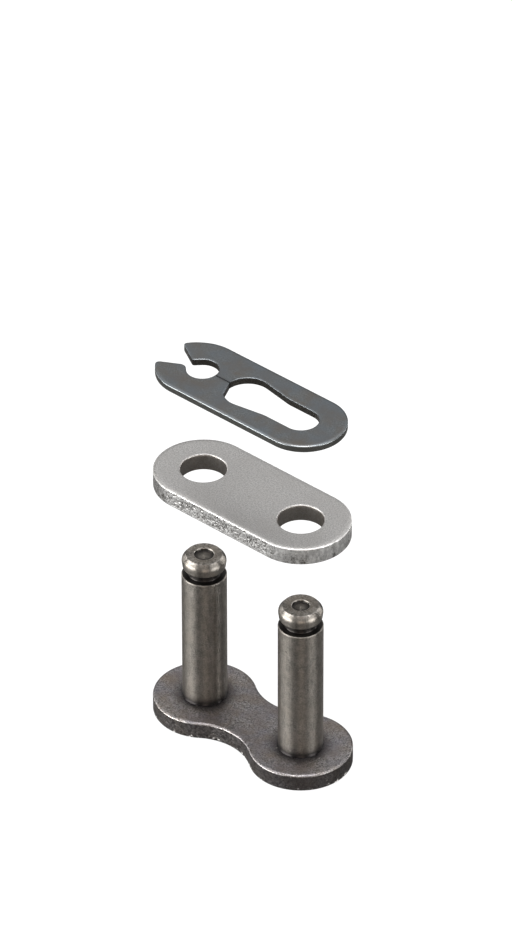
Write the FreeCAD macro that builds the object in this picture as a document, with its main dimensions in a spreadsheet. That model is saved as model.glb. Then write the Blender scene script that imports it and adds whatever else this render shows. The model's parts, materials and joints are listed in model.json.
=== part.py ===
import FreeCAD, Part
import os
from math import acos, asin, atan2, cos, degrees, hypot, radians, sin

import Sketcher

# A roller chain's connecting link: a waisted plate with two riveted pins, a loose cover plate and
# a one-piece spring clip. The cover plate and the clip are drawn clear of the pins, as they are
# laid out before the link is closed. X runs along the chain towards the clip's closed end, Z
# runs along the pins, and the origin lies under the middle of the riveted ends.

# Driving sizes: millimetres, apart from the one angle in degrees
SIZES = {
    # Spacing shared by every piece
    "pitch": 12.7,
    # Pin plate: two round ends with a waist between them, rounder above where the punch went in
    "pin_plate_end_radius": 5.2,
    "pin_plate_waist": 6.3,
    "pin_plate_thickness": 1.85,
    "pin_plate_upper_round": 0.3,
    "pin_plate_lower_break": 0.12,
    # Pins: turned, grooved for the clip and shouldered, with a shank riveted into the pin plate
    "pin_radius": 2.25,
    "pin_shank_radius": 2.0,
    "pin_reach": 17.1,
    "head_height": 1.42,
    "head_bevel_height": 0.54,
    "head_bevel_width": 0.45,
    "head_bevel_round": 0.5,
    "head_edge_break": 0.1,
    "head_narrowing": 0.12,
    "groove_depth": 0.7,
    "groove_corner": 0.08,
    "shoulder_chamfer": 0.08,
    "rear_dimple_radius": 0.99,
    "front_dimple_radius": 0.9,
    "dimple_depth": 0.24,
    "dimple_ring": 0.36,
    "dimple_floor_rise": 0.12,
    "dimple_rim_break": 0.04,
    "foot_flare": 0.08,
    "foot_height": 0.25,
    "rivet_proud": 0.2,
    "rivet_overhang": 0.4,
    "rivet_bevel": 0.12,
    "stake_radius": 1.1,
    "stake_depth": 0.25,
    # Cover plate: straight sides and a slip fit on both pins
    "cover_plate_end_radius": 4.95,
    "cover_plate_thickness": 1.85,
    "cover_plate_edge_break": 0.1,
    "cover_plate_rim_break": 0.11,
    "cover_plate_pin_clearance": 0.05,
    "cover_plate_seat_gap": 0.05,
    "cover_plate_lift": 12.75,
    # Spring clip: a pear-shaped opening, a slit and a notch with a flared mouth
    "clip_thickness": 0.74,
    "clip_width": 8.5,
    "clip_closed_end": 4.6,
    "clip_open_end": 4.35,
    "clip_flank_run": 3.95,
    "clip_tip_spread": 3.94,
    "clip_left_tip_round": 0.28,
    "clip_right_tip_round": 0.45,
    "clip_mouth": 1.0,
    "clip_mouth_angle": 45.0,
    "clip_left_jaw_round": 0.16,
    "clip_right_jaw_round": 0.7,
    "clip_notch_clearance": 0.07,
    "clip_slot_clearance": 0.22,
    "clip_slot_straight": 2.8,
    "clip_slot_blend": 4.0,
    "clip_head_clearance": 0.12,
    "clip_opening_offset": 0.5,
    "clip_shear_flat": 1.95,
    "clip_shear_round": 0.5,
    "clip_slit": 0.05,
    "clip_edge_break": 0.1,
    "clip_play": 0.07,
    "clip_lift": 11.0,
}

# How a sketch numbers the points of a line or an arc, its two axes and its origin
START, END, CENTRE = range(1, 4)
ACROSS_AXIS, UP_AXIS = range(-1, -3, -1)
ORIGIN = (ACROSS_AXIS, START)
SAME_PLACE = 1e-4


class Length:
    """A size with its value in millimetres and the sheet formula that it is bound to."""

    def __init__(self, value, formula):
        self.value = value
        self.formula = formula

    def __add__(self, other):
        return Length(self.value + other.value, f"({self.formula} + {other.formula})")

    def __sub__(self, other):
        return Length(self.value - other.value, f"({self.formula} - {other.formula})")

    def __mul__(self, number):
        return Length(self.value * number, f"({self.formula} * {number})")

    def __neg__(self):
        return self * -1


def cell(alias):
    return Length(SIZES[alias], "Sizes." + alias)


# Levels and radii that more than one piece uses
half_pitch = cell("pitch") * 0.5
neck_radius = cell("pin_radius") - cell("groove_depth")
groove_width = cell("clip_thickness") + cell("clip_play") * 2
plate_top = cell("rivet_proud") + cell("pin_plate_thickness")
pin_top = plate_top + cell("pin_reach")
groove_top = pin_top - cell("head_height")
shoulder = groove_top - groove_width
cover_seat = shoulder - cell("cover_plate_seat_gap") - cell("cover_plate_thickness")
cover_level = cover_seat + cell("cover_plate_lift")
clip_level = shoulder + cell("clip_play") + cell("cover_plate_lift") + cell("clip_lift")


def new_document():
    """Make the document with the sheet of driving sizes."""
    document = FreeCAD.newDocument("ConnectingLink")
    sheet = document.addObject("Spreadsheet::Sheet", "Sizes")
    for row, (alias, value) in enumerate(SIZES.items(), start=1):
        sheet.set(f"A{row}", alias)
        sheet.set(f"B{row}", str(value))
        sheet.setAlias(f"B{row}", alias)
    document.recompute()
    return document


def new_body(document, label, across=None, level=None):
    """Make a body whose place along X and Z is bound to the sheet."""
    body = document.addObject("PartDesign::Body", label)
    body.Label = label
    if across:
        body.setExpression("Placement.Base.x", across.formula)
    if level:
        body.setExpression("Placement.Base.z", level.formula)
    return body


class Drawing:
    """A sketch on one of a body's origin planes, with its sizes bound to the sheet."""

    def __init__(self, body, name, plane="XY_Plane"):
        planes = {feature.Role: feature for feature in body.Origin.OriginFeatures}
        self.sketch = body.newObject("Sketcher::SketchObject", name)
        self.sketch.AttachmentSupport = (planes[plane], [""])
        self.sketch.MapMode = "FlatFace"

    def line(self, start, end):
        first = FreeCAD.Vector(*start, 0)
        last = FreeCAD.Vector(*end, 0)
        return self.sketch.addGeometry(Part.LineSegment(first, last), False)

    def circle(self, centre, radius):
        middle = FreeCAD.Vector(*centre, 0)
        return self.sketch.addGeometry(Part.Circle(middle, FreeCAD.Vector(0, 0, 1), radius), False)

    def arc(self, centre, radius, first, last):
        """Add an arc that runs anticlockwise between two angles in degrees."""
        middle = FreeCAD.Vector(*centre, 0)
        whole = Part.Circle(middle, FreeCAD.Vector(0, 0, 1), radius)
        return self.sketch.addGeometry(Part.ArcOfCircle(whole, radians(first), radians(last)), False)

    def rule(self, *terms):
        return self.sketch.addConstraint(Sketcher.Constraint(*terms))

    def bind(self, length, *terms):
        """Add a constraint whose value follows the sheet."""
        index = self.rule(*terms, length.value)
        self.sketch.setExpression(f"Constraints[{index}]", length.formula)

    def join(self, one, one_end, two, two_end):
        self.rule("Coincident", one, one_end, two, two_end)

    def smooth(self, one, one_end, two, two_end):
        """Join two ends so that one line runs on into the other."""
        self.rule("Tangent", one, one_end, two, two_end)

    def place(self, item, point, across=None, up=None):
        """Hold a point at its distances from the origin, or on an axis where none is given."""
        if across:
            self.bind(across, "DistanceX", *ORIGIN, item, point)
        else:
            self.rule("PointOnObject", item, point, UP_AXIS)
        if up:
            self.bind(up, "DistanceY", *ORIGIN, item, point)
        else:
            self.rule("PointOnObject", item, point, ACROSS_AXIS)

    def radius(self, item, length):
        self.bind(length, "Radius", item)

    def alike(self, one, two):
        self.rule("Equal", one, two)

    def polygon(self, corners):
        """Draw a closed outline of straight lines through corners given as pairs of lengths."""
        points = [(across.value if across else 0, up.value if up else 0) for across, up in corners]
        lines = [self.line(here, there) for here, there in zip(points, points[1:] + points[:1])]
        for index, line in enumerate(lines):
            self.join(line, END, lines[(index + 1) % len(lines)], START)
            self.place(line, START, *corners[index])

    def pin_holes(self, radius):
        """Draw a circle on each pin's axis."""
        front = self.circle((half_pitch.value, 0), radius.value)
        rear = self.circle((-half_pitch.value, 0), radius.value)
        self.place(front, CENTRE, half_pitch)
        self.place(rear, CENTRE, -half_pitch)
        self.radius(front, radius)
        self.alike(front, rear)


def pad(body, name, drawing, thickness):
    feature = body.newObject("PartDesign::Pad", name)
    feature.Profile = drawing.sketch
    feature.setExpression("Length", thickness.formula)
    return feature


def cut_through(body, name, drawing):
    """Cut a sketch on the body's lower plane up through the whole piece."""
    feature = body.newObject("PartDesign::Pocket", name)
    feature.Profile = drawing.sketch
    feature.Type = "ThroughAll"
    feature.Reversed = True
    return feature


def dress_edges(body, kind, name, chosen):
    """Add a fillet or a chamfer to the edges of the newest feature that chosen(edge) picks."""
    body.Document.recompute()
    base = body.Tip
    names = [f"Edge{index}" for index, edge in enumerate(base.Shape.Edges, start=1) if chosen(edge)]
    feature = body.newObject(kind, name)
    feature.Base = (base, names)
    return feature


def round_edges(body, name, radius, chosen):
    dress_edges(body, "PartDesign::Fillet", name, chosen).setExpression("Radius", radius.formula)


def break_edges(body, name, size, chosen):
    dress_edges(body, "PartDesign::Chamfer", name, chosen).setExpression("Size", size.formula)


def lies_flat(edge):
    """True for an edge in a plane of constant height, as every rim of a blanked plate is."""
    return edge.BoundBox.ZLength < SAME_PLACE


def lies_at(edge, level):
    """True for an edge in the plane of constant height at this level."""
    return lies_flat(edge) and abs(edge.BoundBox.ZMin - level) < SAME_PLACE


def is_ring(edge, radius, level=None):
    """True for a circle of this radius, at this level where one is given."""
    if not isinstance(edge.Curve, Part.Circle):
        return False
    at_level = level is None or abs(edge.Curve.Center.z - level.value) < SAME_PLACE
    return at_level and abs(edge.Curve.Radius - radius.value) < SAME_PLACE


def stands_at(edge, places):
    """True for an upright edge over one of these places in the plan."""
    box = edge.BoundBox
    upright = box.ZLength > SAME_PLACE and box.DiagonalLength - box.ZLength < SAME_PLACE
    return upright and any(hypot(box.XMin - x, box.YMin - y) < SAME_PLACE for x, y in places)


def mirrored(point):
    return point[0], -point[1]


def make_pin_plate(document):
    """The waisted plate: round ends and waist arcs in one smooth outline."""
    body = new_body(document, "pin_plate", level=cell("rivet_proud"))
    end_radius = cell("pin_plate_end_radius")
    half_waist = cell("pin_plate_waist") * 0.5

    # The waist arc touches both end arcs and passes the half width at mid-length
    reach, end, waist = half_pitch.value, end_radius.value, half_waist.value
    waist_radius = (reach**2 + waist**2 - end**2) / (2 * (end - waist))
    waist_centre = waist + waist_radius
    turn = degrees(atan2(waist_centre, -reach))
    dip = degrees(atan2(waist_centre, reach))

    outline = Drawing(body, "PinPlateOutline")
    front = outline.arc((reach, 0), end, -turn, turn)
    rear = outline.arc((-reach, 0), end, 180 - turn, 180 + turn)
    left = outline.arc((0, waist_centre), waist_radius, dip - 180, -dip)
    right = outline.arc((0, -waist_centre), waist_radius, dip, 180 - dip)
    outline.smooth(front, END, left, END)
    outline.smooth(front, START, right, START)
    outline.smooth(rear, START, left, START)
    outline.smooth(rear, END, right, END)
    outline.place(front, CENTRE, half_pitch)
    outline.place(rear, CENTRE, -half_pitch)
    outline.radius(front, end_radius)
    outline.alike(front, rear)
    outline.alike(left, right)
    narrowest = outline.sketch.addGeometry(Part.Point(FreeCAD.Vector(0, waist, 0)), True)
    outline.place(narrowest, START, up=half_waist)
    outline.rule("PointOnObject", narrowest, START, left)

    thickness = cell("pin_plate_thickness")
    pad(body, "PinPlateBlank", outline, thickness)
    round_edges(body, "PinPlateUpperEdge", cell("pin_plate_upper_round"),
                lambda edge: lies_at(edge, thickness.value))
    break_edges(body, "PinPlateLowerEdge", cell("pin_plate_lower_break"),
                lambda edge: lies_at(edge, 0))
    holes = Drawing(body, "PinPlateHoles")
    holes.pin_holes(cell("pin_shank_radius"))
    cut_through(body, "PinPlatePunching", holes)
    return body


def make_pin(document, label, side, dimple_radius):
    """A turned pin: riveted shank, shoulder with a flared foot, shaft, clip groove and head."""
    body = new_body(document, label, across=half_pitch * side)
    pin_radius = cell("pin_radius")
    shank_radius = cell("pin_shank_radius")
    rivet_radius = shank_radius + cell("rivet_overhang")
    flare_radius = pin_radius + cell("foot_flare")
    head_low_radius = pin_radius - cell("head_narrowing")
    bevel_level = pin_top - cell("head_bevel_height")
    flat_radius = pin_radius - cell("head_bevel_width")
    dimple_level = pin_top - cell("dimple_depth")

    profile = Drawing(body, label + "_profile", "XZ_Plane")
    profile.polygon([
        (None, cell("stake_depth")),
        (cell("stake_radius"), None),
        (rivet_radius - cell("rivet_bevel"), None),
        (rivet_radius, cell("rivet_bevel")),
        (rivet_radius, cell("rivet_proud")),
        (shank_radius, cell("rivet_proud")),
        (shank_radius, plate_top),
        (flare_radius, plate_top),
        (pin_radius, plate_top + cell("foot_height")),
        (pin_radius, shoulder - cell("shoulder_chamfer")),
        (pin_radius - cell("shoulder_chamfer"), shoulder),
        (neck_radius, shoulder),
        (neck_radius, groove_top),
        (head_low_radius, groove_top),
        (pin_radius, bevel_level),
        (flat_radius, pin_top),
        (dimple_radius, pin_top),
        (dimple_radius, dimple_level),
        (dimple_radius - cell("dimple_ring"), dimple_level),
        (None, dimple_level + cell("dimple_floor_rise")),
    ])
    turned = body.newObject("PartDesign::Revolution", label + "_turned")
    turned.Profile = profile.sketch
    turned.ReferenceAxis = (profile.sketch, ["V_Axis"])
    turned.Angle = 360

    round_edges(body, label + "_bevel", cell("head_bevel_round"),
                lambda edge: is_ring(edge, pin_radius, bevel_level))
    break_edges(body, label + "_edges", cell("head_edge_break"),
                lambda edge: is_ring(edge, flat_radius, pin_top)
                or is_ring(edge, head_low_radius, groove_top))
    break_edges(body, label + "_neck", cell("groove_corner"),
                lambda edge: is_ring(edge, neck_radius))
    break_edges(body, label + "_rim", cell("dimple_rim_break"),
                lambda edge: is_ring(edge, dimple_radius, pin_top))
    return body


def make_cover_plate(document):
    """The loose plate: a flat bar with round ends and a hole for each pin."""
    body = new_body(document, "cover_plate", level=cover_level)
    end_radius = cell("cover_plate_end_radius")
    hole_radius = cell("pin_radius") + cell("cover_plate_pin_clearance")
    reach, end = half_pitch.value, end_radius.value

    outline = Drawing(body, "CoverPlateOutline")
    front = outline.arc((reach, 0), end, -90, 90)
    rear = outline.arc((-reach, 0), end, 90, 270)
    left = outline.line((reach, end), (-reach, end))
    right = outline.line((-reach, -end), (reach, -end))
    outline.smooth(front, END, left, START)
    outline.smooth(left, END, rear, START)
    outline.smooth(rear, END, right, START)
    outline.smooth(right, END, front, START)
    outline.place(front, CENTRE, half_pitch)
    outline.place(rear, CENTRE, -half_pitch)
    outline.radius(front, end_radius)
    outline.alike(front, rear)

    pad(body, "CoverPlateBlank", outline, cell("cover_plate_thickness"))
    break_edges(body, "CoverPlateEdges", cell("cover_plate_edge_break"), lies_flat)
    holes = Drawing(body, "CoverPlateHoles")
    holes.pin_holes(hole_radius)
    cut_through(body, "CoverPlatePunching", holes)
    break_edges(body, "CoverPlateRims", cell("cover_plate_rim_break"),
                lambda edge: is_ring(edge, hole_radius))
    return body


def draw_clip_outline(body):
    """The clip's outer edge: a round closed end, straight sides, curved flanks and the notch."""
    half_width = cell("clip_width") * 0.5
    half_mouth = cell("clip_mouth") * 0.5
    tip_across = -(half_pitch + cell("clip_open_end"))
    flank_across = tip_across + cell("clip_flank_run")
    tip_up = cell("clip_tip_spread") * 0.5
    end_centre = half_pitch + cell("clip_closed_end") - half_width
    notch_radius = neck_radius + cell("clip_notch_clearance")

    # A flank starts along the side and bends in to the tip
    side, end, width = flank_across.value, end_centre.value, half_width.value
    tip = (tip_across.value, tip_up.value)
    drop, run = width - tip[1], side - tip[0]
    flank_radius = (drop**2 + run**2) / (2 * drop)
    sweep = degrees(atan2(run, flank_radius - drop))

    # The notch runs out along straight walls that slope in to the corners of the jaws
    slope = radians(cell("clip_mouth_angle").value)
    touch = (-half_pitch.value - notch_radius.value * sin(slope), notch_radius.value * cos(slope))
    jaw = (touch[0] - (touch[1] - half_mouth.value) * cos(slope) / sin(slope), half_mouth.value)

    outline = Drawing(body, "ClipOutline")
    closed = outline.arc((end, 0), width, -90, 90)
    left_side = outline.line((end, width), (side, width))
    right_side = outline.line((side, -width), (end, -width))
    left_flank = outline.arc((side, width - flank_radius), flank_radius, 90, 90 + sweep)
    right_flank = outline.arc((side, flank_radius - width), flank_radius, 270 - sweep, 270)
    left_mouth = outline.line(tip, jaw)
    right_mouth = outline.line(mirrored(jaw), mirrored(tip))
    left_wall = outline.line(jaw, touch)
    right_wall = outline.line(mirrored(touch), mirrored(jaw))
    notch_turn = 90 + degrees(slope)
    notch = outline.arc((-half_pitch.value, 0), notch_radius.value, -notch_turn, notch_turn)

    outline.smooth(closed, END, left_side, START)
    outline.smooth(closed, START, right_side, END)
    outline.smooth(left_side, END, left_flank, START)
    outline.smooth(right_side, START, right_flank, END)
    outline.join(left_flank, END, left_mouth, START)
    outline.join(right_flank, START, right_mouth, END)
    outline.join(left_mouth, END, left_wall, START)
    outline.join(right_mouth, START, right_wall, END)
    outline.smooth(left_wall, END, notch, END)
    outline.smooth(right_wall, START, notch, START)
    outline.place(closed, CENTRE, end_centre)
    outline.radius(closed, half_width)
    outline.bind(flank_across, "DistanceX", *ORIGIN, left_side, END)
    outline.bind(flank_across, "DistanceX", *ORIGIN, right_side, START)
    outline.place(left_mouth, START, tip_across, tip_up)
    outline.place(right_mouth, END, tip_across, -tip_up)
    outline.place(notch, CENTRE, -half_pitch)
    outline.radius(notch, notch_radius)
    outline.bind(half_mouth, "DistanceY", *ORIGIN, left_wall, START)
    outline.bind(-half_mouth, "DistanceY", *ORIGIN, right_wall, END)
    outline.bind(cell("clip_mouth_angle"), "Angle", left_wall)
    outline.alike(left_wall, right_wall)
    outline.rule("Horizontal", left_side)
    outline.rule("Horizontal", right_side)
    return outline, tip, jaw


def draw_clip_opening(body):
    """The pear-shaped opening: wide enough for a pin's head, then tapering to the slot."""
    slot_radius = neck_radius + cell("clip_slot_clearance")
    wide_radius = cell("pin_radius") + cell("clip_head_clearance")
    wide_centre = -cell("clip_opening_offset")
    straight_end = half_pitch - cell("clip_slot_straight")

    # The taper touches the wide arc and the blend arc, which lie on opposite sides of it
    slot, wide, bend = slot_radius.value, wide_radius.value, SIZES["clip_slot_blend"]
    middle, straight = wide_centre.value, straight_end.value
    along, above = straight - middle, slot + bend
    lean = atan2(above, along) + acos((wide + bend) / hypot(along, above))
    tilt = degrees(lean)
    from_wide = (middle + wide * cos(lean), wide * sin(lean))
    to_bend = (straight - bend * cos(lean), above - bend * sin(lean))

    # One side of the slit is sheared off flat where it meets the opening
    shear = 2 * asin(SIZES["clip_shear_flat"] / (2 * wide))
    flat_end = (middle - wide * cos(shear), -wide * sin(shear))

    opening = Drawing(body, "ClipOpening")
    slot_end = opening.arc((half_pitch.value, 0), slot, -90, 90)
    left_slot = opening.line((half_pitch.value, slot), (straight, slot))
    right_slot = opening.line((straight, -slot), (half_pitch.value, -slot))
    left_bend = opening.arc((straight, above), bend, 180 + tilt, 270)
    right_bend = opening.arc((straight, -above), bend, 90, 180 - tilt)
    left_taper = opening.line(to_bend, from_wide)
    right_taper = opening.line(mirrored(from_wide), mirrored(to_bend))
    left_wide = opening.arc((middle, 0), wide, tilt, 180)
    right_wide = opening.arc((middle, 0), wide, 180 + degrees(shear), 360 - tilt)
    flat = opening.line((middle - wide, 0), flat_end)

    opening.smooth(slot_end, END, left_slot, START)
    opening.smooth(slot_end, START, right_slot, END)
    opening.smooth(left_slot, END, left_bend, END)
    opening.smooth(right_slot, START, right_bend, START)
    opening.smooth(left_bend, START, left_taper, START)
    opening.smooth(right_bend, END, right_taper, END)
    opening.smooth(left_taper, END, left_wide, START)
    opening.smooth(right_taper, START, right_wide, END)
    opening.join(left_wide, END, flat, START)
    opening.join(flat, END, right_wide, START)
    opening.place(slot_end, CENTRE, half_pitch)
    opening.radius(slot_end, slot_radius)
    opening.place(left_wide, CENTRE, wide_centre)
    opening.place(right_wide, CENTRE, wide_centre)
    opening.radius(left_wide, wide_radius)
    opening.alike(left_wide, right_wide)
    opening.radius(left_bend, cell("clip_slot_blend"))
    opening.alike(left_bend, right_bend)
    opening.bind(straight_end, "DistanceX", *ORIGIN, left_slot, END)
    opening.bind(straight_end, "DistanceX", *ORIGIN, right_slot, START)
    opening.rule("PointOnObject", flat, START, ACROSS_AXIS)
    opening.bind(cell("clip_shear_flat"), "Distance", flat)
    opening.rule("Horizontal", left_slot)
    opening.rule("Horizontal", right_slot)
    return opening, flat_end


def make_spring_clip(document):
    """The clip: one blanked strip, slit between the notch and the opening so that it springs."""
    body = new_body(document, "spring_clip", level=clip_level)
    outline, tip, jaw = draw_clip_outline(body)
    pad(body, "ClipBlank", outline, cell("clip_thickness"))
    round_edges(body, "ClipLeftTip", cell("clip_left_tip_round"),
                lambda edge: stands_at(edge, [tip]))
    round_edges(body, "ClipRightTip", cell("clip_right_tip_round"),
                lambda edge: stands_at(edge, [mirrored(tip)]))
    round_edges(body, "ClipLeftJaw", cell("clip_left_jaw_round"),
                lambda edge: stands_at(edge, [jaw]))
    round_edges(body, "ClipRightJaw", cell("clip_right_jaw_round"),
                lambda edge: stands_at(edge, [mirrored(jaw)]))

    opening, flat_end = draw_clip_opening(body)
    cut_through(body, "ClipPunching", opening)
    round_edges(body, "ClipShearCorner", cell("clip_shear_round"),
                lambda edge: stands_at(edge, [flat_end]))

    half_slit = cell("clip_slit") * 0.5
    slit_from = -half_pitch
    slit_to = -cell("clip_opening_offset")
    slit = Drawing(body, "ClipSlit")
    slit.polygon([
        (slit_from, -half_slit),
        (slit_to, -half_slit),
        (slit_to, half_slit),
        (slit_from, half_slit),
    ])
    cut_through(body, "ClipShearing", slit)

    def is_rim(edge):
        """True for every rim but the sharp ones along the slit."""
        box = edge.BoundBox
        along_slit = box.YLength < SAME_PLACE and abs(abs(box.YMin) - half_slit.value) < SAME_PLACE
        return lies_flat(edge) and not along_slit

    break_edges(body, "ClipEdges", cell("clip_edge_break"), is_rim)
    return body


def check(document, bodies):
    """Stop with a plain message if a feature failed or a piece is not one sound solid."""
    for item in document.Objects:
        if "Invalid" in item.State or "Error" in item.State:
            raise RuntimeError(f"{item.Label} failed: {item.State}")
    for body in bodies:
        shape = body.Shape
        if shape.isNull() or not shape.isValid() or len(shape.Solids) != 1:
            raise RuntimeError(f"{body.Label} is not one sound solid")


def export(bodies):
    """Write each piece to a file named for it."""
    os.makedirs("parts", exist_ok=True)
    for body in bodies:
        body.Shape.exportStep(f"parts/{body.Label}.step")
        box = body.Shape.optimalBoundingBox()
        print(f"{body.Label}: {body.Shape.Volume:.2f} mm3,"
              f" x {box.XMin:.2f} to {box.XMax:.2f}, y {box.YMin:.2f} to {box.YMax:.2f},"
              f" z {box.ZMin:.2f} to {box.ZMax:.2f}")


def main():
    document = new_document()
    bodies = [
        make_pin_plate(document),
        make_pin(document, "rear_pin", -1, cell("rear_dimple_radius")),
        make_pin(document, "front_pin", 1, cell("front_dimple_radius")),
        make_cover_plate(document),
        make_spring_clip(document),
    ]
    document.recompute()
    check(document, bodies)
    export(bodies)


main()
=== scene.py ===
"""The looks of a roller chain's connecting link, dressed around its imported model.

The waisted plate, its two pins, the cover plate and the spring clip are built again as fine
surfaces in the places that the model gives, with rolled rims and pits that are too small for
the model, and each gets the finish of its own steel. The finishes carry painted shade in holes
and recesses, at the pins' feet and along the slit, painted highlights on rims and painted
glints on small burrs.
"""

import json
import logging
import math
from dataclasses import astuple, dataclass
from enum import Enum

import bmesh
import bpy
import numpy as np
from mathutils import Matrix, Vector


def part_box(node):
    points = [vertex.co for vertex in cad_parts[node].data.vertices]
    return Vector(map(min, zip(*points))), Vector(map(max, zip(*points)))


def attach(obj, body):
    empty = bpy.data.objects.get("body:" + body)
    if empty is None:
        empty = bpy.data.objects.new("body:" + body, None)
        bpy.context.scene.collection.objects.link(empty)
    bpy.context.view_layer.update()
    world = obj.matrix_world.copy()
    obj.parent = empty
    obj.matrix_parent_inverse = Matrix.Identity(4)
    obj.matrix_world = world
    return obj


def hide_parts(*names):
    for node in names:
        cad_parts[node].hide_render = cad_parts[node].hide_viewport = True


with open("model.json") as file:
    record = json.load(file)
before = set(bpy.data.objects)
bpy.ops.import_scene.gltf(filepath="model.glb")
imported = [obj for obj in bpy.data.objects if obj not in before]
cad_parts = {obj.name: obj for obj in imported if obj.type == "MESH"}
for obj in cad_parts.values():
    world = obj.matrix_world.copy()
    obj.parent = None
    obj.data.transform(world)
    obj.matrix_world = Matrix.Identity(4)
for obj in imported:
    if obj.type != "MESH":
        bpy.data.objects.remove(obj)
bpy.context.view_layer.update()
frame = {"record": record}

log = logging.getLogger("connecting_link")

# Shapes are worked out in millimetres, and MM brings them to metres.
MM = 0.001
# Points of a mesh that lie nearer than this, in metres, become one.
WELD = 1e-4 * MM
# Spacing of the points along an outline's arcs and lines, in millimetres.
POLYLINE_STEP = 0.02
# Points of an outline that lie nearer than this, in millimetres, count as one.
SAME_PLACE = 1e-6
# A turn of fewer radians than this is no corner.
STRAIGHT = 1e-3
# The row of a swept edge that bounds a face, and whether that face is the top one.
FACES = ((0, True), (-1, False))

Colour = tuple[float, float, float]
Point = tuple[float, float]
Span = tuple[float, float]
Layer = tuple[int, float, float]
Values = np.ndarray | float

WHITE: Colour = (1.0, 1.0, 1.0)


class Mark(Enum):
    """What a surface remembers at each of its points for its material."""

    WALL = "wall"
    # Painted shade on the walls of holes and on the clip's inner walls.
    BORE_SHADE = "bore"
    # Where the rims are; the finish paints a highlight there and gives them their own roughness.
    RIM = "rim"
    # Real pits, dark grain, smears and scratches, together with painted shade in recesses, at the pins'
    # feet, beside the slit and on the cover plate's rear end.
    PIT_DIRT_AND_SHADE = "pit"
    # Painted glints on small burrs.
    BURR_GLINT = "nick"


class End(Enum):
    """The two ends of the link, as the sign of their place along X."""

    REAR = -1
    FRONT = 1


def smoothstep(value: np.ndarray, low: float, high: float) -> np.ndarray:
    """Rise from 0 to 1 between two values: 3 times the share squared, less 2 times its cube.

    Args:
        value: What is compared.
        low: Where the rise starts.
        high: Where it ends.

    Returns:
        An array like value, from 0 to 1.
    """
    share = np.clip((value - low) / (high - low), 0.0, 1.0)
    return share * share * (3.0 - 2.0 * share)


def fading(value: np.ndarray, low: float, high: float) -> np.ndarray:
    """Fall from 1 to 0 between two values: 1 less the smoothstep."""
    return 1.0 - smoothstep(value, low, high)


def band(value: np.ndarray, rise: Span, fall: Span) -> np.ndarray:
    """1 from a soft rise to a soft fall, and 0 outside them: one step times the other."""
    return smoothstep(value, *rise) * fading(value, *fall)


def mixed(start: Values, end: Values, share: Values) -> Values:
    """What lies a share of the way from start to end: start plus that share of the difference."""
    return start + (end - start) * share


def eased(count: int) -> np.ndarray:
    """Shares from 0 to 1 that crowd at both ends: half of 1 less the cosine of an even turn."""
    return 0.5 - 0.5 * np.cos(np.linspace(0.0, math.pi, count))


def on_circle(centre: Point, radius: float, first: float, last: float) -> np.ndarray:
    """Points along an arc: the centre plus the radius times cosine and sine of the angle.

    Args:
        centre: The arc's centre in millimetres.
        radius: Its radius.
        first: Angle of the first point in degrees.
        last: Angle of the last point.

    Returns:
        Points as rows of x and y.
    """
    count = max(3, math.ceil(radius * math.radians(abs(last - first)) / POLYLINE_STEP))
    angle = np.radians(np.linspace(first, last, count))
    return np.stack([centre[0] + radius * np.cos(angle), centre[1] + radius * np.sin(angle)], axis=1)


def on_line(start: Point, end: Point) -> np.ndarray:
    """Points along a straight run from one point to another."""
    count = max(3, math.ceil(math.dist(start, end) / POLYLINE_STEP))
    return np.linspace(start, end, count)


def flipped(point: Point) -> Point:
    """A point's mirror image across the link's long axis."""
    return point[0], -point[1]


def lengths_along(points: np.ndarray) -> np.ndarray:
    """Distance travelled along a polyline at each of its points."""
    steps = np.linalg.norm(np.diff(points, axis=0), axis=1)
    return np.concatenate([[0.0], np.cumsum(steps)])


def trimmed(points: np.ndarray, from_start: float, from_end: float) -> np.ndarray:
    """A polyline without a stretch at each end.

    Args:
        points: The polyline.
        from_start: Length left out at its start.
        from_end: Length left out at its end.

    Returns:
        As many points, spread evenly over what is left.
    """
    along = lengths_along(points)
    wanted = np.linspace(from_start, along[-1] - from_end, len(points))
    return np.stack([np.interp(wanted, along, points[:, axis]) for axis in range(2)], axis=1)


def corner_reach(way_in: np.ndarray, way_out: np.ndarray,
                 radius: float) -> tuple[float, float, float]:
    """How a rounding lies in a corner.

    The reach is the radius times the tangent of half the turn. The bend is the usual share for a
    cubic curve that follows a circle: four thirds of the tangent of a quarter of the turn, over
    the tangent of half of it.

    Args:
        way_in: Direction of the run that ends at the corner.
        way_out: Direction of the run that starts there.
        radius: The rounding's radius.

    Returns:
        The turn in radians, the reach along each run in millimetres and the bend as a share.
    """
    cosine = way_in @ way_out / (np.linalg.norm(way_in) * np.linalg.norm(way_out))
    turn = math.acos(float(np.clip(cosine, -1.0, 1.0)))
    if turn < STRAIGHT or radius <= 0.0:
        return turn, 0.0, 0.0
    return turn, radius * math.tan(turn / 2), 4 / 3 * math.tan(turn / 4) / math.tan(turn / 2)


def corner_curve(start: np.ndarray, tip: np.ndarray, end: np.ndarray, bend: float,
                 count: int) -> np.ndarray:
    """A cubic curve that rounds a corner.

    Args:
        start: Where the curve leaves the first run.
        tip: The corner.
        end: Where it joins the second run.
        bend: Share of the way to the corner at which its two handles lie.
        count: How many points, ends included.

    Returns:
        The points.
    """
    share = np.linspace(0.0, 1.0, count)[:, None]
    first, last = mixed(start, tip, bend), mixed(end, tip, bend)
    return ((1 - share) ** 3 * start + 3 * (1 - share) ** 2 * share * first
            + 3 * (1 - share) * share ** 2 * last + share ** 3 * end)


@dataclass
class Run:
    """One stretch of an outline, and the radius that rounds the corner at its far end."""

    points: np.ndarray
    corner: float = 0.0


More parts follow.
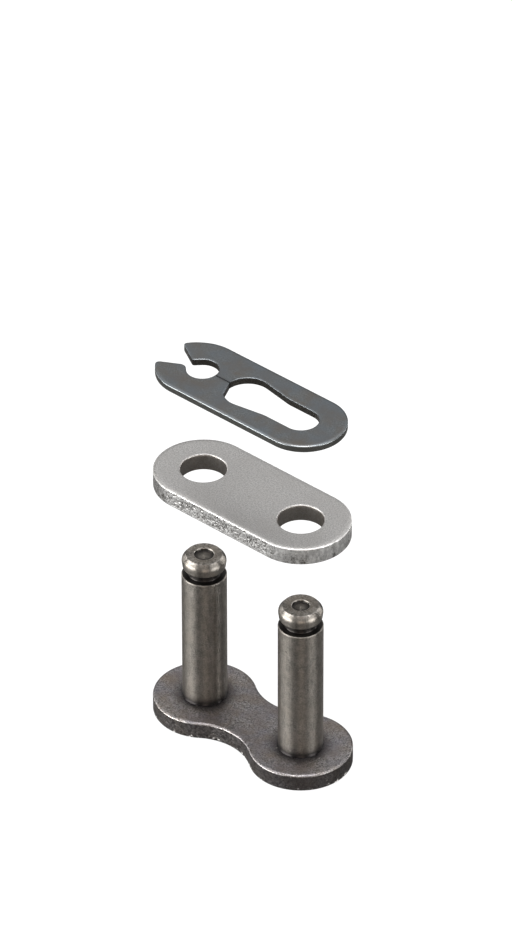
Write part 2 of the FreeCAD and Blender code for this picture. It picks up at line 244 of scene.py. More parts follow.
class Loop:
    """A closed outline that can be read at any distance along it.

    Args:
        runs: Its named runs in order, each starting where the last one ends.
    """

    def __init__(self, runs: dict[str, Run]) -> None:
        self.names = list(runs)
        points, spans = self.joined(list(runs.values()))
        ring = np.vstack([points, points[:1]])
        along = lengths_along(ring)
        self.length = float(along[-1])
        self.spans = {name: (float(along[first]), float(along[last]))
                      for name, (first, last) in zip(runs, spans)}
        keep = np.concatenate([[True], np.diff(along) > SAME_PLACE])
        self.ring, self.along = ring[keep], along[keep]
        self.inward = self.ways_in()

    @staticmethod
    def joined(order: list[Run]) -> tuple[np.ndarray, list[tuple[int, int]]]:
        """Join the runs, with a curve in place of each rounded corner.

        Args:
            order: The runs, each starting where the last one ends.

        Returns:
            All the points, and the numbers of each run's first and last point.
        """
        corners = [corner_reach(run.points[-1] - run.points[-2], after.points[1] - after.points[0],
                                run.corner)
                   for run, after in zip(order, order[1:] + order[:1])]
        pieces, spans, total = [], [], 0
        for index, run in enumerate(order):
            _, reach, bend = corners[index]
            kept = trimmed(run.points, corners[index - 1][1], reach)
            spans.append((total, total + len(kept) - 1))
            pieces.append(kept)
            total += len(kept)
            if reach:
                after = trimmed(order[(index + 1) % len(order)].points, reach, 0.0)[0]
                count = max(8, math.ceil(2 * reach / POLYLINE_STEP))
                pieces.append(corner_curve(kept[-1], run.points[-1], after, bend, count)[1:-1])
                total += count - 2
        return np.concatenate(pieces), spans

    def ways_in(self) -> np.ndarray:
        """Directions into the material: square to the way from the last point to the next.

        The side is that of the enclosed area's sign, which is the sum of the cross products of
        neighbouring points.
        """
        here, there = self.ring[:-1], self.ring[1:]
        area = np.sum(here[:, 0] * there[:, 1] - there[:, 0] * here[:, 1])
        ahead = there - np.roll(here, 1, axis=0)
        inward = np.stack([-ahead[:, 1], ahead[:, 0]], axis=1) * np.sign(area)
        inward /= np.linalg.norm(inward, axis=1, keepdims=True)
        return np.vstack([inward, inward[:1]])

    def place(self, name: str, share: float) -> float:
        """Distance to a share of the way along a named run."""
        return mixed(*self.spans[name], share)

    def corner(self, name: str) -> float:
        """Distance to the middle of the rounded corner at a named run's far end."""
        index = self.names.index(name) + 1
        after = self.spans[self.names[index]][0] if index < len(self.names) else self.length
        return (self.spans[name][1] + after) / 2

    def read(self, values: np.ndarray, places: np.ndarray) -> np.ndarray:
        """Values along the outline at these distances, which may run past its length."""
        wrapped = np.mod(places, self.length)
        return np.stack([np.interp(wrapped, self.along, column) for column in values.T], axis=1)

    def points(self, places: np.ndarray) -> np.ndarray:
        """Points at these distances."""
        return self.read(self.ring, places)

    def normals(self, places: np.ndarray) -> np.ndarray:
        """Directions into the material at these distances, each of length 1."""
        found = self.read(self.inward, places)
        return found / np.linalg.norm(found, axis=1, keepdims=True)


class Grit:
    """Random relief with soft steps: values on a lattice, blended between the corners of a cell.

    Args:
        seed: Start of the random draw.
        cell: Size of a cell in millimetres.
    """

    SIDE = 32

    def __init__(self, seed: int, cell: float) -> None:
        self.table = np.random.default_rng(seed).random((self.SIDE,) * 3)
        self.cell = cell

    def at(self, points: np.ndarray) -> np.ndarray:
        """Values from 0 to 1 at points given in millimetres, whatever the array's shape."""
        place = points / self.cell
        corner = np.floor(place).astype(int)
        share = smoothstep(place - corner, 0.0, 1.0)
        total = np.zeros(points.shape[:-1])
        for step in np.ndindex(2, 2, 2):
            index = (corner + step) % self.SIDE
            weight = np.prod(np.where(step, share, 1.0 - share), axis=-1)
            total += weight * self.table[index[..., 0], index[..., 1], index[..., 2]]
        return total


def gritty(points: np.ndarray, layers: tuple[Layer, ...]) -> np.ndarray:
    """Random relief in layers: the sum of each layer's share times its values.

    Args:
        points: Where it is read, in millimetres.
        layers: The seed, cell and share of each layer.

    Returns:
        A value for each point.
    """
    return sum(share * Grit(seed, cell).at(points) for seed, cell, share in layers)


def drawn_out(points: np.ndarray, factor: float) -> np.ndarray:
    """Points squeezed along Z, so that relief read at them is drawn out that way by the factor."""
    return points / np.array([1.0, 1.0, factor])


def add_object(name: str, data: bpy.types.ID) -> bpy.types.Object:
    """Make an object of a mesh, a light or a camera, and put it in the scene."""
    made = bpy.data.objects.new(name, data)
    bpy.context.scene.collection.objects.link(made)
    return made


class Skin:
    """Grids of points that are welded into one closed mesh.

    Args:
        name: Name of the finished piece.
    """

    def __init__(self, name: str) -> None:
        self.name = name
        self.points: list[np.ndarray] = []
        self.faces: list[np.ndarray] = []
        self.marks: dict[Mark, list[np.ndarray]] = {mark: [] for mark in Mark}
        self.count = 0

    def add(self, points: np.ndarray, flip: bool = False,
            marks: dict[Mark, Values] | None = None) -> None:
        """Add a grid of points, with a square face between each four neighbours.

        Args:
            points: Rows, columns and x, y, z in millimetres. A closed grid repeats its first
                column at its end, and the weld joins them.
            flip: True to turn the faces over.
            marks: What the points remember, as one value or an array that fits the grid.
        """
        rows, columns = points.shape[:2]
        index = self.count + np.arange(rows * columns).reshape(rows, columns)
        quads = np.stack([index[:-1, :-1], index[:-1, 1:], index[1:, 1:], index[1:, :-1]], axis=-1)
        quads = quads.reshape(-1, 4)
        self.faces.append(quads[:, ::-1] if flip else quads)
        self.points.append(points.reshape(-1, 3))
        for mark, kept in self.marks.items():
            value = (marks or {}).get(mark, 0.0)
            kept.append(np.broadcast_to(value, (rows, columns)).reshape(-1))
        self.count += rows * columns

    def build(self, body: str, slot: str, material: bpy.types.Material,
              *nodes: str) -> bpy.types.Object:
        """Weld the grids and make the piece, in metres, with its marks as attributes.

        Args:
            body: The body that it rides on.
            slot: The record's slot for its finish; not used.
            material: Its material.
            nodes: The nodes that it stands for.

        Returns:
            The piece.
        """
        mesh = bpy.data.meshes.new(self.name)
        points = np.concatenate(self.points)
        mesh.from_pydata((points * MM).tolist(), [], np.concatenate(self.faces).tolist())
        for mark, kept in self.marks.items():
            layer = mesh.attributes.new(mark.value, "FLOAT", "POINT")
            layer.data.foreach_set("value", np.concatenate(kept).astype(np.float32))
        work = bmesh.new()
        work.from_mesh(mesh)
        bmesh.ops.remove_doubles(work, verts=work.verts, dist=WELD)
        open_edges = sum(1 for edge in work.edges if not edge.is_manifold)
        volume = work.calc_volume(signed=True) / MM ** 3
        work.to_mesh(mesh)
        work.free()
        mesh.shade_smooth()
        mesh.materials.append(material)
        piece = add_object(self.name, mesh)
        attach(piece, body)
        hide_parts(*nodes)
        log.info("%s: %d faces, %d open edges, %.2f cubic millimetres",
                 self.name, len(mesh.polygons), open_edges, volume)
        return piece


@dataclass(frozen=True)
class Rim:
    """How an edge rolls over: how far in it starts, how far down it ends, and its rows."""

    width: float
    height: float
    rows: int = 9


class EdgeRows:
    """Rows over a blanked edge, from the top face over the wall to the bottom face.

    Each rim is a quarter of an ellipse, so it leaves its face and meets the wall with no crease.
    The wall's mark comes in over a rim's steep part. The rim's mark is the sine of nearly the
    whole turn at the top, and of twice the turn at the bottom.

    Args:
        upper: The rim at the top.
        lower: The rim at the bottom.
        wall_rows: Rows on the wall between the rims.
    """

    STEEP = 0.7
    CREST = 0.9

    def __init__(self, upper: Rim, lower: Rim, wall_rows: int) -> None:
        over = np.linspace(0.0, math.pi / 2, upper.rows)
        under = np.linspace(0.0, math.pi / 2, lower.rows)
        wall = np.zeros(wall_rows)
        self.inset = np.concatenate([upper.width * (1 - np.sin(over)), wall,
                                     lower.width * (1 - np.cos(under))])
        self.drop = np.concatenate([upper.height * (1 - np.cos(over)), wall + upper.height,
                                    upper.height + lower.height * np.sin(under)])
        self.share = np.concatenate([0 * over, np.linspace(0, 1, wall_rows + 2)[1:-1], 0 * under + 1])
        self.rims = upper.height + lower.height
        self.wall = np.concatenate([smoothstep(np.sin(over), self.STEEP, 1.0), wall + 1,
                                    smoothstep(np.cos(under), self.STEEP, 1.0)])[:, None]
        self.rim = np.concatenate([np.sin(self.CREST * over), wall, np.sin(2 * under)])[:, None]

    def sweep(self, outline: np.ndarray, inward: np.ndarray, bottom: float, top: float,
              rim: Values = 1.0) -> np.ndarray:
        """Carry the rows along an outline.

        A row lies inside the outline by its inset times the rim's share. It lies below the top by
        its drop times that share, plus its part of the wall that the rims leave.

        Args:
            outline: Points of the outline.
            inward: Directions into the material there.
            bottom: Level of the bottom face.
            top: Level of the top face.
            rim: Share of the rims' full size, as one value or one for each point.

        Returns:
            A grid of rows and columns with x, y and z.
        """
        size = np.broadcast_to(rim, len(outline))[None]
        plan = outline[None] + inward[None] * (self.inset[:, None] * size)[..., None]
        wall = self.share[:, None] * (top - bottom - self.rims * size)
        return at_level(plan, top - self.drop[:, None] * size - wall)


def at_level(points: np.ndarray, level: Values) -> np.ndarray:
    """Points of the plan at a level."""
    return np.concatenate([points, np.broadcast_to(level, points.shape[:-1])[..., None]], axis=-1)


def node_box(node: str) -> tuple[np.ndarray, np.ndarray]:
    """A node's lowest and highest corner in millimetres."""
    low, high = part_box(node)
    return np.array(low) / MM, np.array(high) / MM


def pin_radius() -> float:
    """Radius of the pins' shafts, from the record's mount on the front one."""
    mounts = frame["record"]["mounts"]
    return next(mount["dims"]["r_mm"] for mount in mounts if mount["name"] == "front_pin_shaft")


def half_pitch() -> float:
    """Half the distance between the pins' axes."""
    low, high = node_box("front_pin")
    return (low[0] + high[0]) / 2


@dataclass
class HoledPlate:
    """A flat plate with a round hole at each pin: two halves, each a web round its hole."""

    node: str
    slot: str
    hole: float
    upper: Rim
    lower: Rim
    hole_upper: Rim
    hole_lower: Rim
    wall_rows: int = 26
    hole_rows: int = 8
    face_rows: int = 11
    spacing: float = 0.065
    middle_spacing: float = 0.2
    # Painted shade round each hole, where a pin stands, and how far out it fades.
    hole_shade: float = 0.0
    hole_shade_width: float = 1.7

    def outline(self) -> Loop:
        """The outline, anticlockwise from the middle of the near long side."""
        raise NotImplementedError

    def relief(self, edge: np.ndarray, wall: np.ndarray) -> tuple[np.ndarray, dict[Mark, Values]]:
        """How deep the edge is pitted at each point, and what it remembers there."""
        raise NotImplementedError

    def build(self, body: str, material: bpy.types.Material) -> bpy.types.Object:
        """Make the plate: its edge is swept round the outline, and its faces are two webs.

        Args:
            body: The body that it rides on.
            material: Its material.

        Returns:
            The piece.
        """
        low, high = node_box(self.node)
        loop = self.outline()
        half = 2 * math.ceil(loop.length / self.spacing / 4)
        places = np.linspace(0.0, loop.length, 2 * half + 1)
        outline, inward = loop.points(places), loop.normals(places)
        rows = EdgeRows(self.upper, self.lower, self.wall_rows)
        edge = rows.sweep(outline, inward, low[2], high[2])
        depth, marks = self.relief(edge, rows.wall)
        skin = Skin(f"{self.node}_skin")
        skin.add(edge + at_level(inward, 0.0)[None] * depth[..., None], flip=True,
                 marks={Mark.WALL: rows.wall, Mark.RIM: rows.rim, **marks})
        self.add_web(skin, End.REAR, outline[half:], edge[:, half:])
        self.add_web(skin, End.FRONT, outline[:half + 1], edge[:, :half + 1])
        return skin.build(body, self.slot, material, self.node)

    def add_web(self, skin: Skin, end: End, outline: np.ndarray, edge: np.ndarray) -> None:
        """Add one half's hole, and its faces of straight lines from the hole's rim.

        The lines run to the edge and to the line across the middle.

        Args:
            skin: What they are added to.
            end: The end that the half lies at.
            outline: The half's part of the outline.
            edge: The half's part of the swept edge.
        """
        low, high = node_box(self.node)
        steps = math.ceil(2 * abs(outline[0, 1]) / self.middle_spacing)
        centre = np.array([end.value * half_pitch(), 0.0])
        away = self.around(outline, steps) - centre
        away /= np.linalg.norm(away, axis=1, keepdims=True)
        rows = EdgeRows(self.hole_upper, self.hole_lower, self.hole_rows)
        wall = rows.sweep(centre + away * self.hole, away, low[2], high[2])
        # The hole's wall gets painted shade.
        skin.add(wall, marks={Mark.BORE_SHADE: rows.wall, Mark.RIM: rows.rim})
        for row, is_top in FACES:
            ring = wall[row, :, :2]
            across = self.around(edge[row, :, :2], steps) - ring
            across = across * eased(self.face_rows)[:, None, None]
            # Painted shade that fades out from the hole's rim over both faces.
            near = fading(np.linalg.norm(across, axis=-1), 0.0, self.hole_shade_width)
            skin.add(at_level(ring + across, edge[row, 0, 2]), flip=is_top,
                     marks={Mark.PIT_DIRT_AND_SHADE: self.hole_shade * near})

    @staticmethod
    def around(side: np.ndarray, steps: int) -> np.ndarray:
        """Close half an outline with evenly spaced points on the line across the middle."""
        return np.vstack([side, np.linspace(side[-1], side[0], steps + 1)[1:]])


@dataclass
class CoverPlate(HoledPlate):
    """The loose plate: round ends, straight sheared sides and a hole for each pin."""

    node: str = "cover_plate"
    slot: str = "cover_plate_steel"
    hole: float = 2.3
    upper: Rim = Rim(0.6, 0.12)
    lower: Rim = Rim(0.1, 0.1, 5)
    hole_upper: Rim = Rim(0.16, 0.14)
    hole_lower: Rim = Rim(0.1, 0.1, 5)
    pit_layers: tuple[Layer, ...] = ((3, 0.14, 0.5), (4, 0.084, 0.42), (5, 0.56, 0.08))
    pit_stretch: float = 1.5
    pit_from: Span = (0.47, 0.6)
    pit_depth: float = 0.03
    side_end: Span = (-0.6, 1.6)
    end_pits: float = 0.25
    calm_height: Span = (0.14, 0.3)
    calm_pits: float = 0.3
    smear_layers: tuple[Layer, ...] = ((6, 0.7, 0.6), (7, 0.7 / 3, 0.4))
    smear_stretch: float = 2.5
    smear_from: Span = (0.25, 0.85)
    smear_below: float = 0.2
    high_smear: float = 0.3
    # How much darker the round ends turn towards the bottom.
    bottom_darkening: float = 0.2
    # Painted shade on the rear end.
    rear_shade: float = 0.7
    rear_start: Span = (-0.4, 2.0)
    # Painted shade over the rear end's rolled rim.
    rear_rim_shade: float = 0.6
    rim_drop: Span = (0.0, 0.04)
    smear_and_shade_share: float = 0.9

    def outline(self) -> Loop:
        """Straight sides that touch a round end at each pin."""
        end, reach = node_box(self.node)[1][1], half_pitch()
        return Loop({
            "near_front": Run(on_line((0.0, -end), (reach, -end))),
            "front": Run(on_circle((reach, 0.0), end, -90, 90)),
            "far": Run(on_line((reach, end), (-reach, end))),
            "rear": Run(on_circle((-reach, 0.0), end, 90, 270)),
            "near_rear": Run(on_line((-reach, -end), (0.0, -end))),
        })

    def relief(self, edge: np.ndarray, wall: np.ndarray) -> tuple[np.ndarray, dict[Mark, Values]]:
        """Fracture pits along the straight sides, and darker smears on the round ends.

        The pits are fewer on the round ends and calmer in a band at the bottom. The smears are
        patchy and denser low down, the round ends turn darker towards the bottom, and the rear end
        carries painted shade as far as over its rolled rim.

        Args:
            edge: The swept edge.
            wall: The share of wall in each of its rows.

        Returns:
            The pits' depth in millimetres, and the pits, smears, darkening and painted shade.
        """
        x, level, reach = edge[..., 0], edge[..., 2], half_pitch()
        low, high = edge[-1, 0, 2], edge[0, 0, 2]
        straight = fading(np.abs(x) - reach, *self.side_end)
        pit = smoothstep(gritty(drawn_out(edge, self.pit_stretch), self.pit_layers), *self.pit_from)
        pit = pit * wall * mixed(self.end_pits, 1.0, straight)
        pit = pit * mixed(self.calm_pits, 1.0, smoothstep(level - low, *self.calm_height))
        smear_and_shade = smoothstep(gritty(drawn_out(edge, self.smear_stretch), self.smear_layers),
                           *self.smear_from)
        # The round ends turn darker towards the bottom.
        lower = fading(level, low, high - self.smear_below)
        # Painted shade on the rear end.
        rear = smoothstep(-x - reach, *self.rear_start)
        smear_and_shade = (smear_and_shade * mixed(self.high_smear, 1.0, lower) + self.bottom_darkening * lower
                 + self.rear_shade * rear)
        # Painted shade over the rear end's rolled rim, which dims the highlight there.
        rounded = self.rear_rim_shade * rear * smoothstep(high - level, *self.rim_drop)
        smear_and_shade = smear_and_shade * np.maximum(wall, rounded) * (1.0 - straight)
        return self.pit_depth * pit, {Mark.PIT_DIRT_AND_SHADE: np.clip(pit + self.smear_and_shade_share * smear_and_shade, 0.0, 1.0)}


@dataclass
class PinPlate(HoledPlate):
    """The waisted plate that carries the pins."""

    node: str = "pin_plate"
    slot: str = "pin_plate_steel"
    hole: float = 2.0
    upper: Rim = Rim(0.34, 0.22)
    lower: Rim = Rim(0.14, 0.14, 5)
    hole_upper: Rim = Rim(0.02, 0.02, 3)
    hole_lower: Rim = Rim(0.02, 0.02, 3)
    hole_rows: int = 2
    hole_shade: float = 0.8
    waist: float = 6.3
    grain_layers: tuple[Layer, ...] = ((11, 0.2, 0.5), (12, 0.13, 0.5))
    grain_from: Span = (0.4, 0.72)
    grain_depth: float = 0.012
    grain_dirt: float = 0.5
    # Where the edge turns darker towards the front, how much, and how much grain it loses there.
    front_span: Span = (4.0, 8.5)
    front_darkening: float = 0.4
    front_grain_loss: float = 0.6
    # Painted glints on small burrs: where they show and how high up.
    burr_glint_layers: tuple[Layer, ...] = ((13, 0.16, 0.6), (14, 0.9, 0.4))
    burr_glint_from: Span = (0.66, 0.76)
    burr_glint_rise: Span = (0.0, 0.1)
    burr_glint_fall: Span = (0.2, 0.5)

    def outline(self) -> Loop:
        """Round ends and waist arcs, each arc touching the next.

        A waist arc touches both ends' arcs and passes half the waist at mid-length. Its radius is
        the squares of half the pitch and half the waist, less that of the end's radius, over
        twice what the end's radius exceeds half the waist by.
        """
        end, reach, waist = node_box(self.node)[1][1], half_pitch(), self.waist / 2
        radius = (reach ** 2 + waist ** 2 - end ** 2) / (2 * (end - waist))
        centre = waist + radius
        lean = math.degrees(math.atan2(centre, reach))
        return Loop({
            "near_front": Run(on_circle((0.0, -centre), radius, 90, lean)),
            "front": Run(on_circle((reach, 0.0), end, lean - 180, 180 - lean)),
            "far": Run(on_circle((0.0, centre), radius, -lean, lean - 180)),
            "rear": Run(on_circle((-reach, 0.0), end, lean, 360 - lean)),
            "near_rear": Run(on_circle((0.0, -centre), radius, 180 - lean, 90)),
        })

    def relief(self, edge: np.ndarray, wall: np.ndarray) -> tuple[np.ndarray, dict[Mark, Values]]:
        """A grainy blasted edge that turns darker towards the front, with painted glints on small
        burrs low down.

        Args:
            edge: The swept edge.
            wall: The share of wall in each of its rows.

        Returns:
            The grain's depth in millimetres, with the dark grain, the darkening at the front and the
            painted glints.
        """
        pit = smoothstep(gritty(edge, self.grain_layers), *self.grain_from) * wall
        # Painted glints on small burrs low down.
        burr_glint_mask = (smoothstep(gritty(edge, self.burr_glint_layers), *self.burr_glint_from)
                * band(edge[..., 2] - edge[-1, 0, 2], self.burr_glint_rise, self.burr_glint_fall))
        # The edge turns darker towards the front, with less grain there.
        toward_front = smoothstep(edge[..., 0], *self.front_span)
        dark_share = self.grain_dirt * pit * (1.0 - self.front_grain_loss * toward_front) + self.front_darkening * toward_front * wall
        return self.grain_depth * pit, {Mark.PIT_DIRT_AND_SHADE: dark_share, Mark.BURR_GLINT: burr_glint_mask}


@dataclass(frozen=True)
class PinWearAndPaintedLight:
    """Where a pin carries painted shade, short scratches and painted highlights, and how much.

    A span holds where something starts and where it is full. It is measured from the part of the
    pin that its name gives: down from the head's top, the groove's lip or its shoulder, outwards
    from the dimple's rim, and up from the plate.
    """

    # Painted shade in the groove.
    groove_shade: float = 0.9
    groove_in: Span = (0.05, 0.12)
    lip_down: Span = (-0.1, 0.0)
    shoulder_down: Span = (0.01, 0.04)
    # Painted shade in the dimple.
    dimple_shade: float = 0.85
    dimple_down: Span = (0.03, 0.16)
    dimple_end: float = 0.5
    dimple_out: Span = (0.0, 0.05)
    dimple_floor: Span = (-0.55, -0.25)
    dimple_middle: float = 0.05
    bevel_shade: float = 0.45
    bevel_down: Span = (0.05, 0.12)
    bevel_end: Span = (0.18, 0.36)
    bevel_out: Span = (0.0, 0.05)
    # Painted shade at the foot and up the shaft.
    foot_shade: float = 0.65
    foot_up: Span = (0.1, 1.0)
    shaft_shade: float = 0.35
    shaft_up: Span = (0.0, 3.2)
    plate_up: Span = (-0.3, -0.1)
    scratch: float = 0.42
    scratch_layer: Layer = (21, 1.0, 1.0)
    scratch_from: Span = (0.52, 0.74)
    scratch_down: Span = (0.02, 0.08)
    scratch_out: Span = (0.1, 0.4)
    scratches: int = 2 * Grit.SIDE
    # Width of the painted highlight round the head's rim and the dimple's.
    rim_width: float = 0.06
    end_down: Span = (0.02, 0.1)


@dataclass
class TurnedPin:
    """A pin turned about its axis, with its groove, bevelled head and dimple."""

    node: str
    end: End
    dimple: float
    slot: str = "pin_steel"
    head_height: float = 1.42
    bevel_height: float = 0.54
    bevel_width: float = 0.45
    narrowing: float = 0.12
    neck: float = 1.55
    groove: float = 0.88
    shoulder_chamfer: float = 0.08
    dimple_depth: float = 0.24
    dimple_ring: float = 0.36
    dimple_rise: float = 0.16
    dimple_slope: float = 0.05
    flare: float = 0.08
    foot: float = 0.25
    shank: float = 2.0
    rivet: float = 2.4
    rivet_bevel: float = 0.12
    stake: float = 1.1
    stake_depth: float = 0.25
    crisp: float = 0.01
    stake_round: float = 0.1
    rivet_rounds: Span = (0.08, 0.05)
    flare_round: float = 0.02
    foot_round: float = 0.3
    shoulder_round: float = 0.04
    groove_round: float = 0.1
    lip_round: float = 0.08
    cheek_round: float = 0.65
    crown_round: float = 0.07
    dimple_round: float = 0.09
    floor_rounds: Span = (0.05, 0.04)
    curve_step: float = 0.15
    row_spacing: float = 0.4
    guard: float = 0.03
    columns: int = 224
    wear_and_painted_light: PinWearAndPaintedLight = PinWearAndPaintedLight()

    def corners(self) -> list[tuple[float, float, float]]:
        """Radius, level and rounding at each corner, from the stake mark to the dimple's middle."""
        low, high = node_box(self.node)
        plate_low, plate_high = node_box("pin_plate")
        foot, top, below, above = low[2], high[2], plate_low[2], plate_high[2]
        full, chamfer = pin_radius(), self.shoulder_chamfer
        groove_top = top - self.head_height
        shoulder = groove_top - self.groove
        floor = top - self.dimple_depth
        return [
            (0.0, foot + self.stake_depth, 0.0),
            (self.stake, foot, self.stake_round),
            (self.rivet - self.rivet_bevel, foot, self.rivet_rounds[0]),
            (self.rivet, foot + self.rivet_bevel, self.rivet_rounds[1]),
            (self.rivet, below, self.crisp),
            (self.shank, below, self.crisp),
            (self.shank, above, self.crisp),
            (full + self.flare, above, self.flare_round),
            (full, above + self.foot, self.foot_round),
            (full, shoulder - chamfer, self.shoulder_round),
            (full - chamfer, shoulder, self.shoulder_round),
            (self.neck, shoulder, self.groove_round),
            (self.neck, groove_top, self.groove_round),
            (full - self.narrowing, groove_top, self.lip_round),
            (full, top - self.bevel_height, self.cheek_round),
            (full - self.bevel_width, top, self.crown_round),
            (self.dimple, top, self.dimple_round),
            (self.dimple - self.dimple_slope, floor, self.floor_rounds[0]),
            (self.dimple - self.dimple_ring, floor, self.floor_rounds[1]),
            (0.0, floor + self.dimple_rise, 0.0),
        ]

    def straight(self, start: np.ndarray, end: np.ndarray) -> np.ndarray:
        """Rows along a straight run: its ends, a row close to each, and even ones between."""
        length = math.dist(start, end)
        guard = min(self.guard, length / 3)
        inner = np.linspace(guard, length - guard, max(2, math.ceil(length / self.row_spacing)))
        return mixed(start, end, np.concatenate([[0.0], inner, [length]])[:, None] / length)

    def profile(self) -> np.ndarray:
        """The half section: a curve at each corner, and straight runs between the curves."""
        corners = np.array(self.corners())
        places = corners[:, :2]
        pieces, start = [], places[0]
        for before, tip, after, radius in zip(places, places[1:], places[2:], corners[1:, 2]):
            turn, reach, bend = corner_reach(tip - before, after - tip, radius)
            enter = mixed(tip, before, reach / math.dist(tip, before))
            leave = mixed(tip, after, reach / math.dist(tip, after))
            rows = max(4, math.ceil(turn / self.curve_step))
            pieces += [self.straight(start, enter), corner_curve(enter, tip, leave, bend, rows)[1:-1]]
            start = leave
        return np.concatenate([*pieces, self.straight(start, places[-1])])

    def build(self, body: str, material: bpy.types.Material) -> bpy.types.Object:
        """Turn the profile about the pin's axis: x and y are the radius times cosine and sine.

        Args:
            body: The body that it rides on.
            material: Its material.

        Returns:
            The piece.
        """
        line = self.profile()
        angle = np.linspace(0.0, 2 * math.pi, self.columns + 1)
        radius, level = line[:, :1], line[:, 1:]
        points = np.stack([
            self.end.value * half_pitch() + radius * np.cos(angle),
            radius * np.sin(angle),
            np.broadcast_to(level, (len(line), len(angle))),
        ], axis=-1)
        points[:, -1] = points[:, 0]
        skin = Skin(f"{self.node}_skin")
        skin.add(points, marks=self.marks(radius, level, angle))
        return skin.build(body, self.slot, material, self.node)

    def marks(self, radius: np.ndarray, level: np.ndarray, angle: np.ndarray) -> dict[Mark, Values]:
        """What the pin remembers at each radius, level and angle.

        Painted shade sits in the groove, round the dimple's floor, at the foot and on the head's
        bevel, and short dark scratches mark the flat end. The riveted end stays unmarked. The head's
        rim and the dimple's get a painted highlight, by a bell curve of the distance to them. The
        flat end is no wall, so it keeps its coarser grain.

        Args:
            radius: The profile's radii, as a column.
            level: Its levels, as a column.
            angle: Where each column of the grid stands, in radians.

        Returns:
            A value for each mark and point.
        """
        down, up = node_box(self.node)[1][2] - level, level - node_box("pin_plate")[1][2]
        # Painted shade on the head; on the shaft, painted shade at the foot next to real scratches.
        head = np.maximum(self.groove_shade(radius, down), self.dimple_shade(radius, down))
        head = head + self.bevel_shade(radius, down)
        shaft = np.maximum(self.foot_shade(up), self.scratches(radius, down, angle))
        # A painted highlight round the head's rim and the dimple's, on a bell curve of the distance.
        rims = sum(np.exp(-((radius - edge) ** 2 + down ** 2) / self.wear_and_painted_light.rim_width ** 2)
                   for edge in (pin_radius() - self.bevel_width, self.dimple))
        return {
            Mark.WALL: smoothstep(down, *self.wear_and_painted_light.end_down),
            Mark.RIM: rims,
            Mark.PIT_DIRT_AND_SHADE: np.maximum(head, shaft),
        }

    def groove_shade(self, radius: np.ndarray, down: np.ndarray) -> np.ndarray:
        """Painted shade between the groove's lip and its shoulder."""
        wear_and_painted_light, lip = self.wear_and_painted_light, self.head_height
        return (wear_and_painted_light.groove_shade * smoothstep(pin_radius() - radius, *wear_and_painted_light.groove_in)
                * smoothstep(down - lip, *wear_and_painted_light.lip_down)
                * fading(down - lip - self.groove, *wear_and_painted_light.shoulder_down))

    def dimple_shade(self, radius: np.ndarray, down: np.ndarray) -> np.ndarray:
        """Painted shade down in the dimple, with its raised middle nearly unshaded."""
        wear_and_painted_light, out = self.wear_and_painted_light, radius - self.dimple
        return (wear_and_painted_light.dimple_shade * band(down, wear_and_painted_light.dimple_down, (wear_and_painted_light.dimple_end, self.head_height))
                * fading(out, *wear_and_painted_light.dimple_out)
                * mixed(wear_and_painted_light.dimple_middle, 1.0, smoothstep(out, *wear_and_painted_light.dimple_floor)))

    def bevel_shade(self, radius: np.ndarray, down: np.ndarray) -> np.ndarray:
        """Shade on the upper part of the head's bevel."""
        wear_and_painted_light, out = self.wear_and_painted_light, radius - pin_radius() + self.bevel_width
        return (wear_and_painted_light.bevel_shade * band(down, wear_and_painted_light.bevel_down, wear_and_painted_light.bevel_end)
                * smoothstep(out, *wear_and_painted_light.bevel_out))

    def foot_shade(self, up: np.ndarray) -> np.ndarray:
        """Painted shade that is darkest at the plate and fades out up the shaft."""
        wear_and_painted_light = self.wear_and_painted_light
        dark_share = wear_and_painted_light.foot_shade * fading(up, *wear_and_painted_light.foot_up) + wear_and_painted_light.shaft_shade * fading(up, *wear_and_painted_light.shaft_up)
        return dark_share * smoothstep(up, *wear_and_painted_light.plate_up)

    def scratches(self, radius: np.ndarray, down: np.ndarray, angle: np.ndarray) -> np.ndarray:
        """Short scratches on the flat end that point away from the dimple: grit over the angle."""
        wear_and_painted_light = self.wear_and_painted_light
        turned = np.broadcast_to(angle * wear_and_painted_light.scratches / (2 * math.pi), (len(radius), len(angle)))
        place = np.stack([turned, radius + 0 * turned, 0 * turned], axis=-1)
        return (wear_and_painted_light.scratch * smoothstep(gritty(place, (wear_and_painted_light.scratch_layer,)), *wear_and_painted_light.scratch_from)
                * fading(down, *wear_and_painted_light.scratch_down)
                * smoothstep(radius - self.dimple, *wear_and_painted_light.scratch_out))


@dataclass(frozen=True)
class Station:
    """A line across the clip's ribbon, and the size of the rims at its two ends."""

    inner: float
    outer: float
    inner_rim: float = 1.0
    outer_rim: float = 1.0


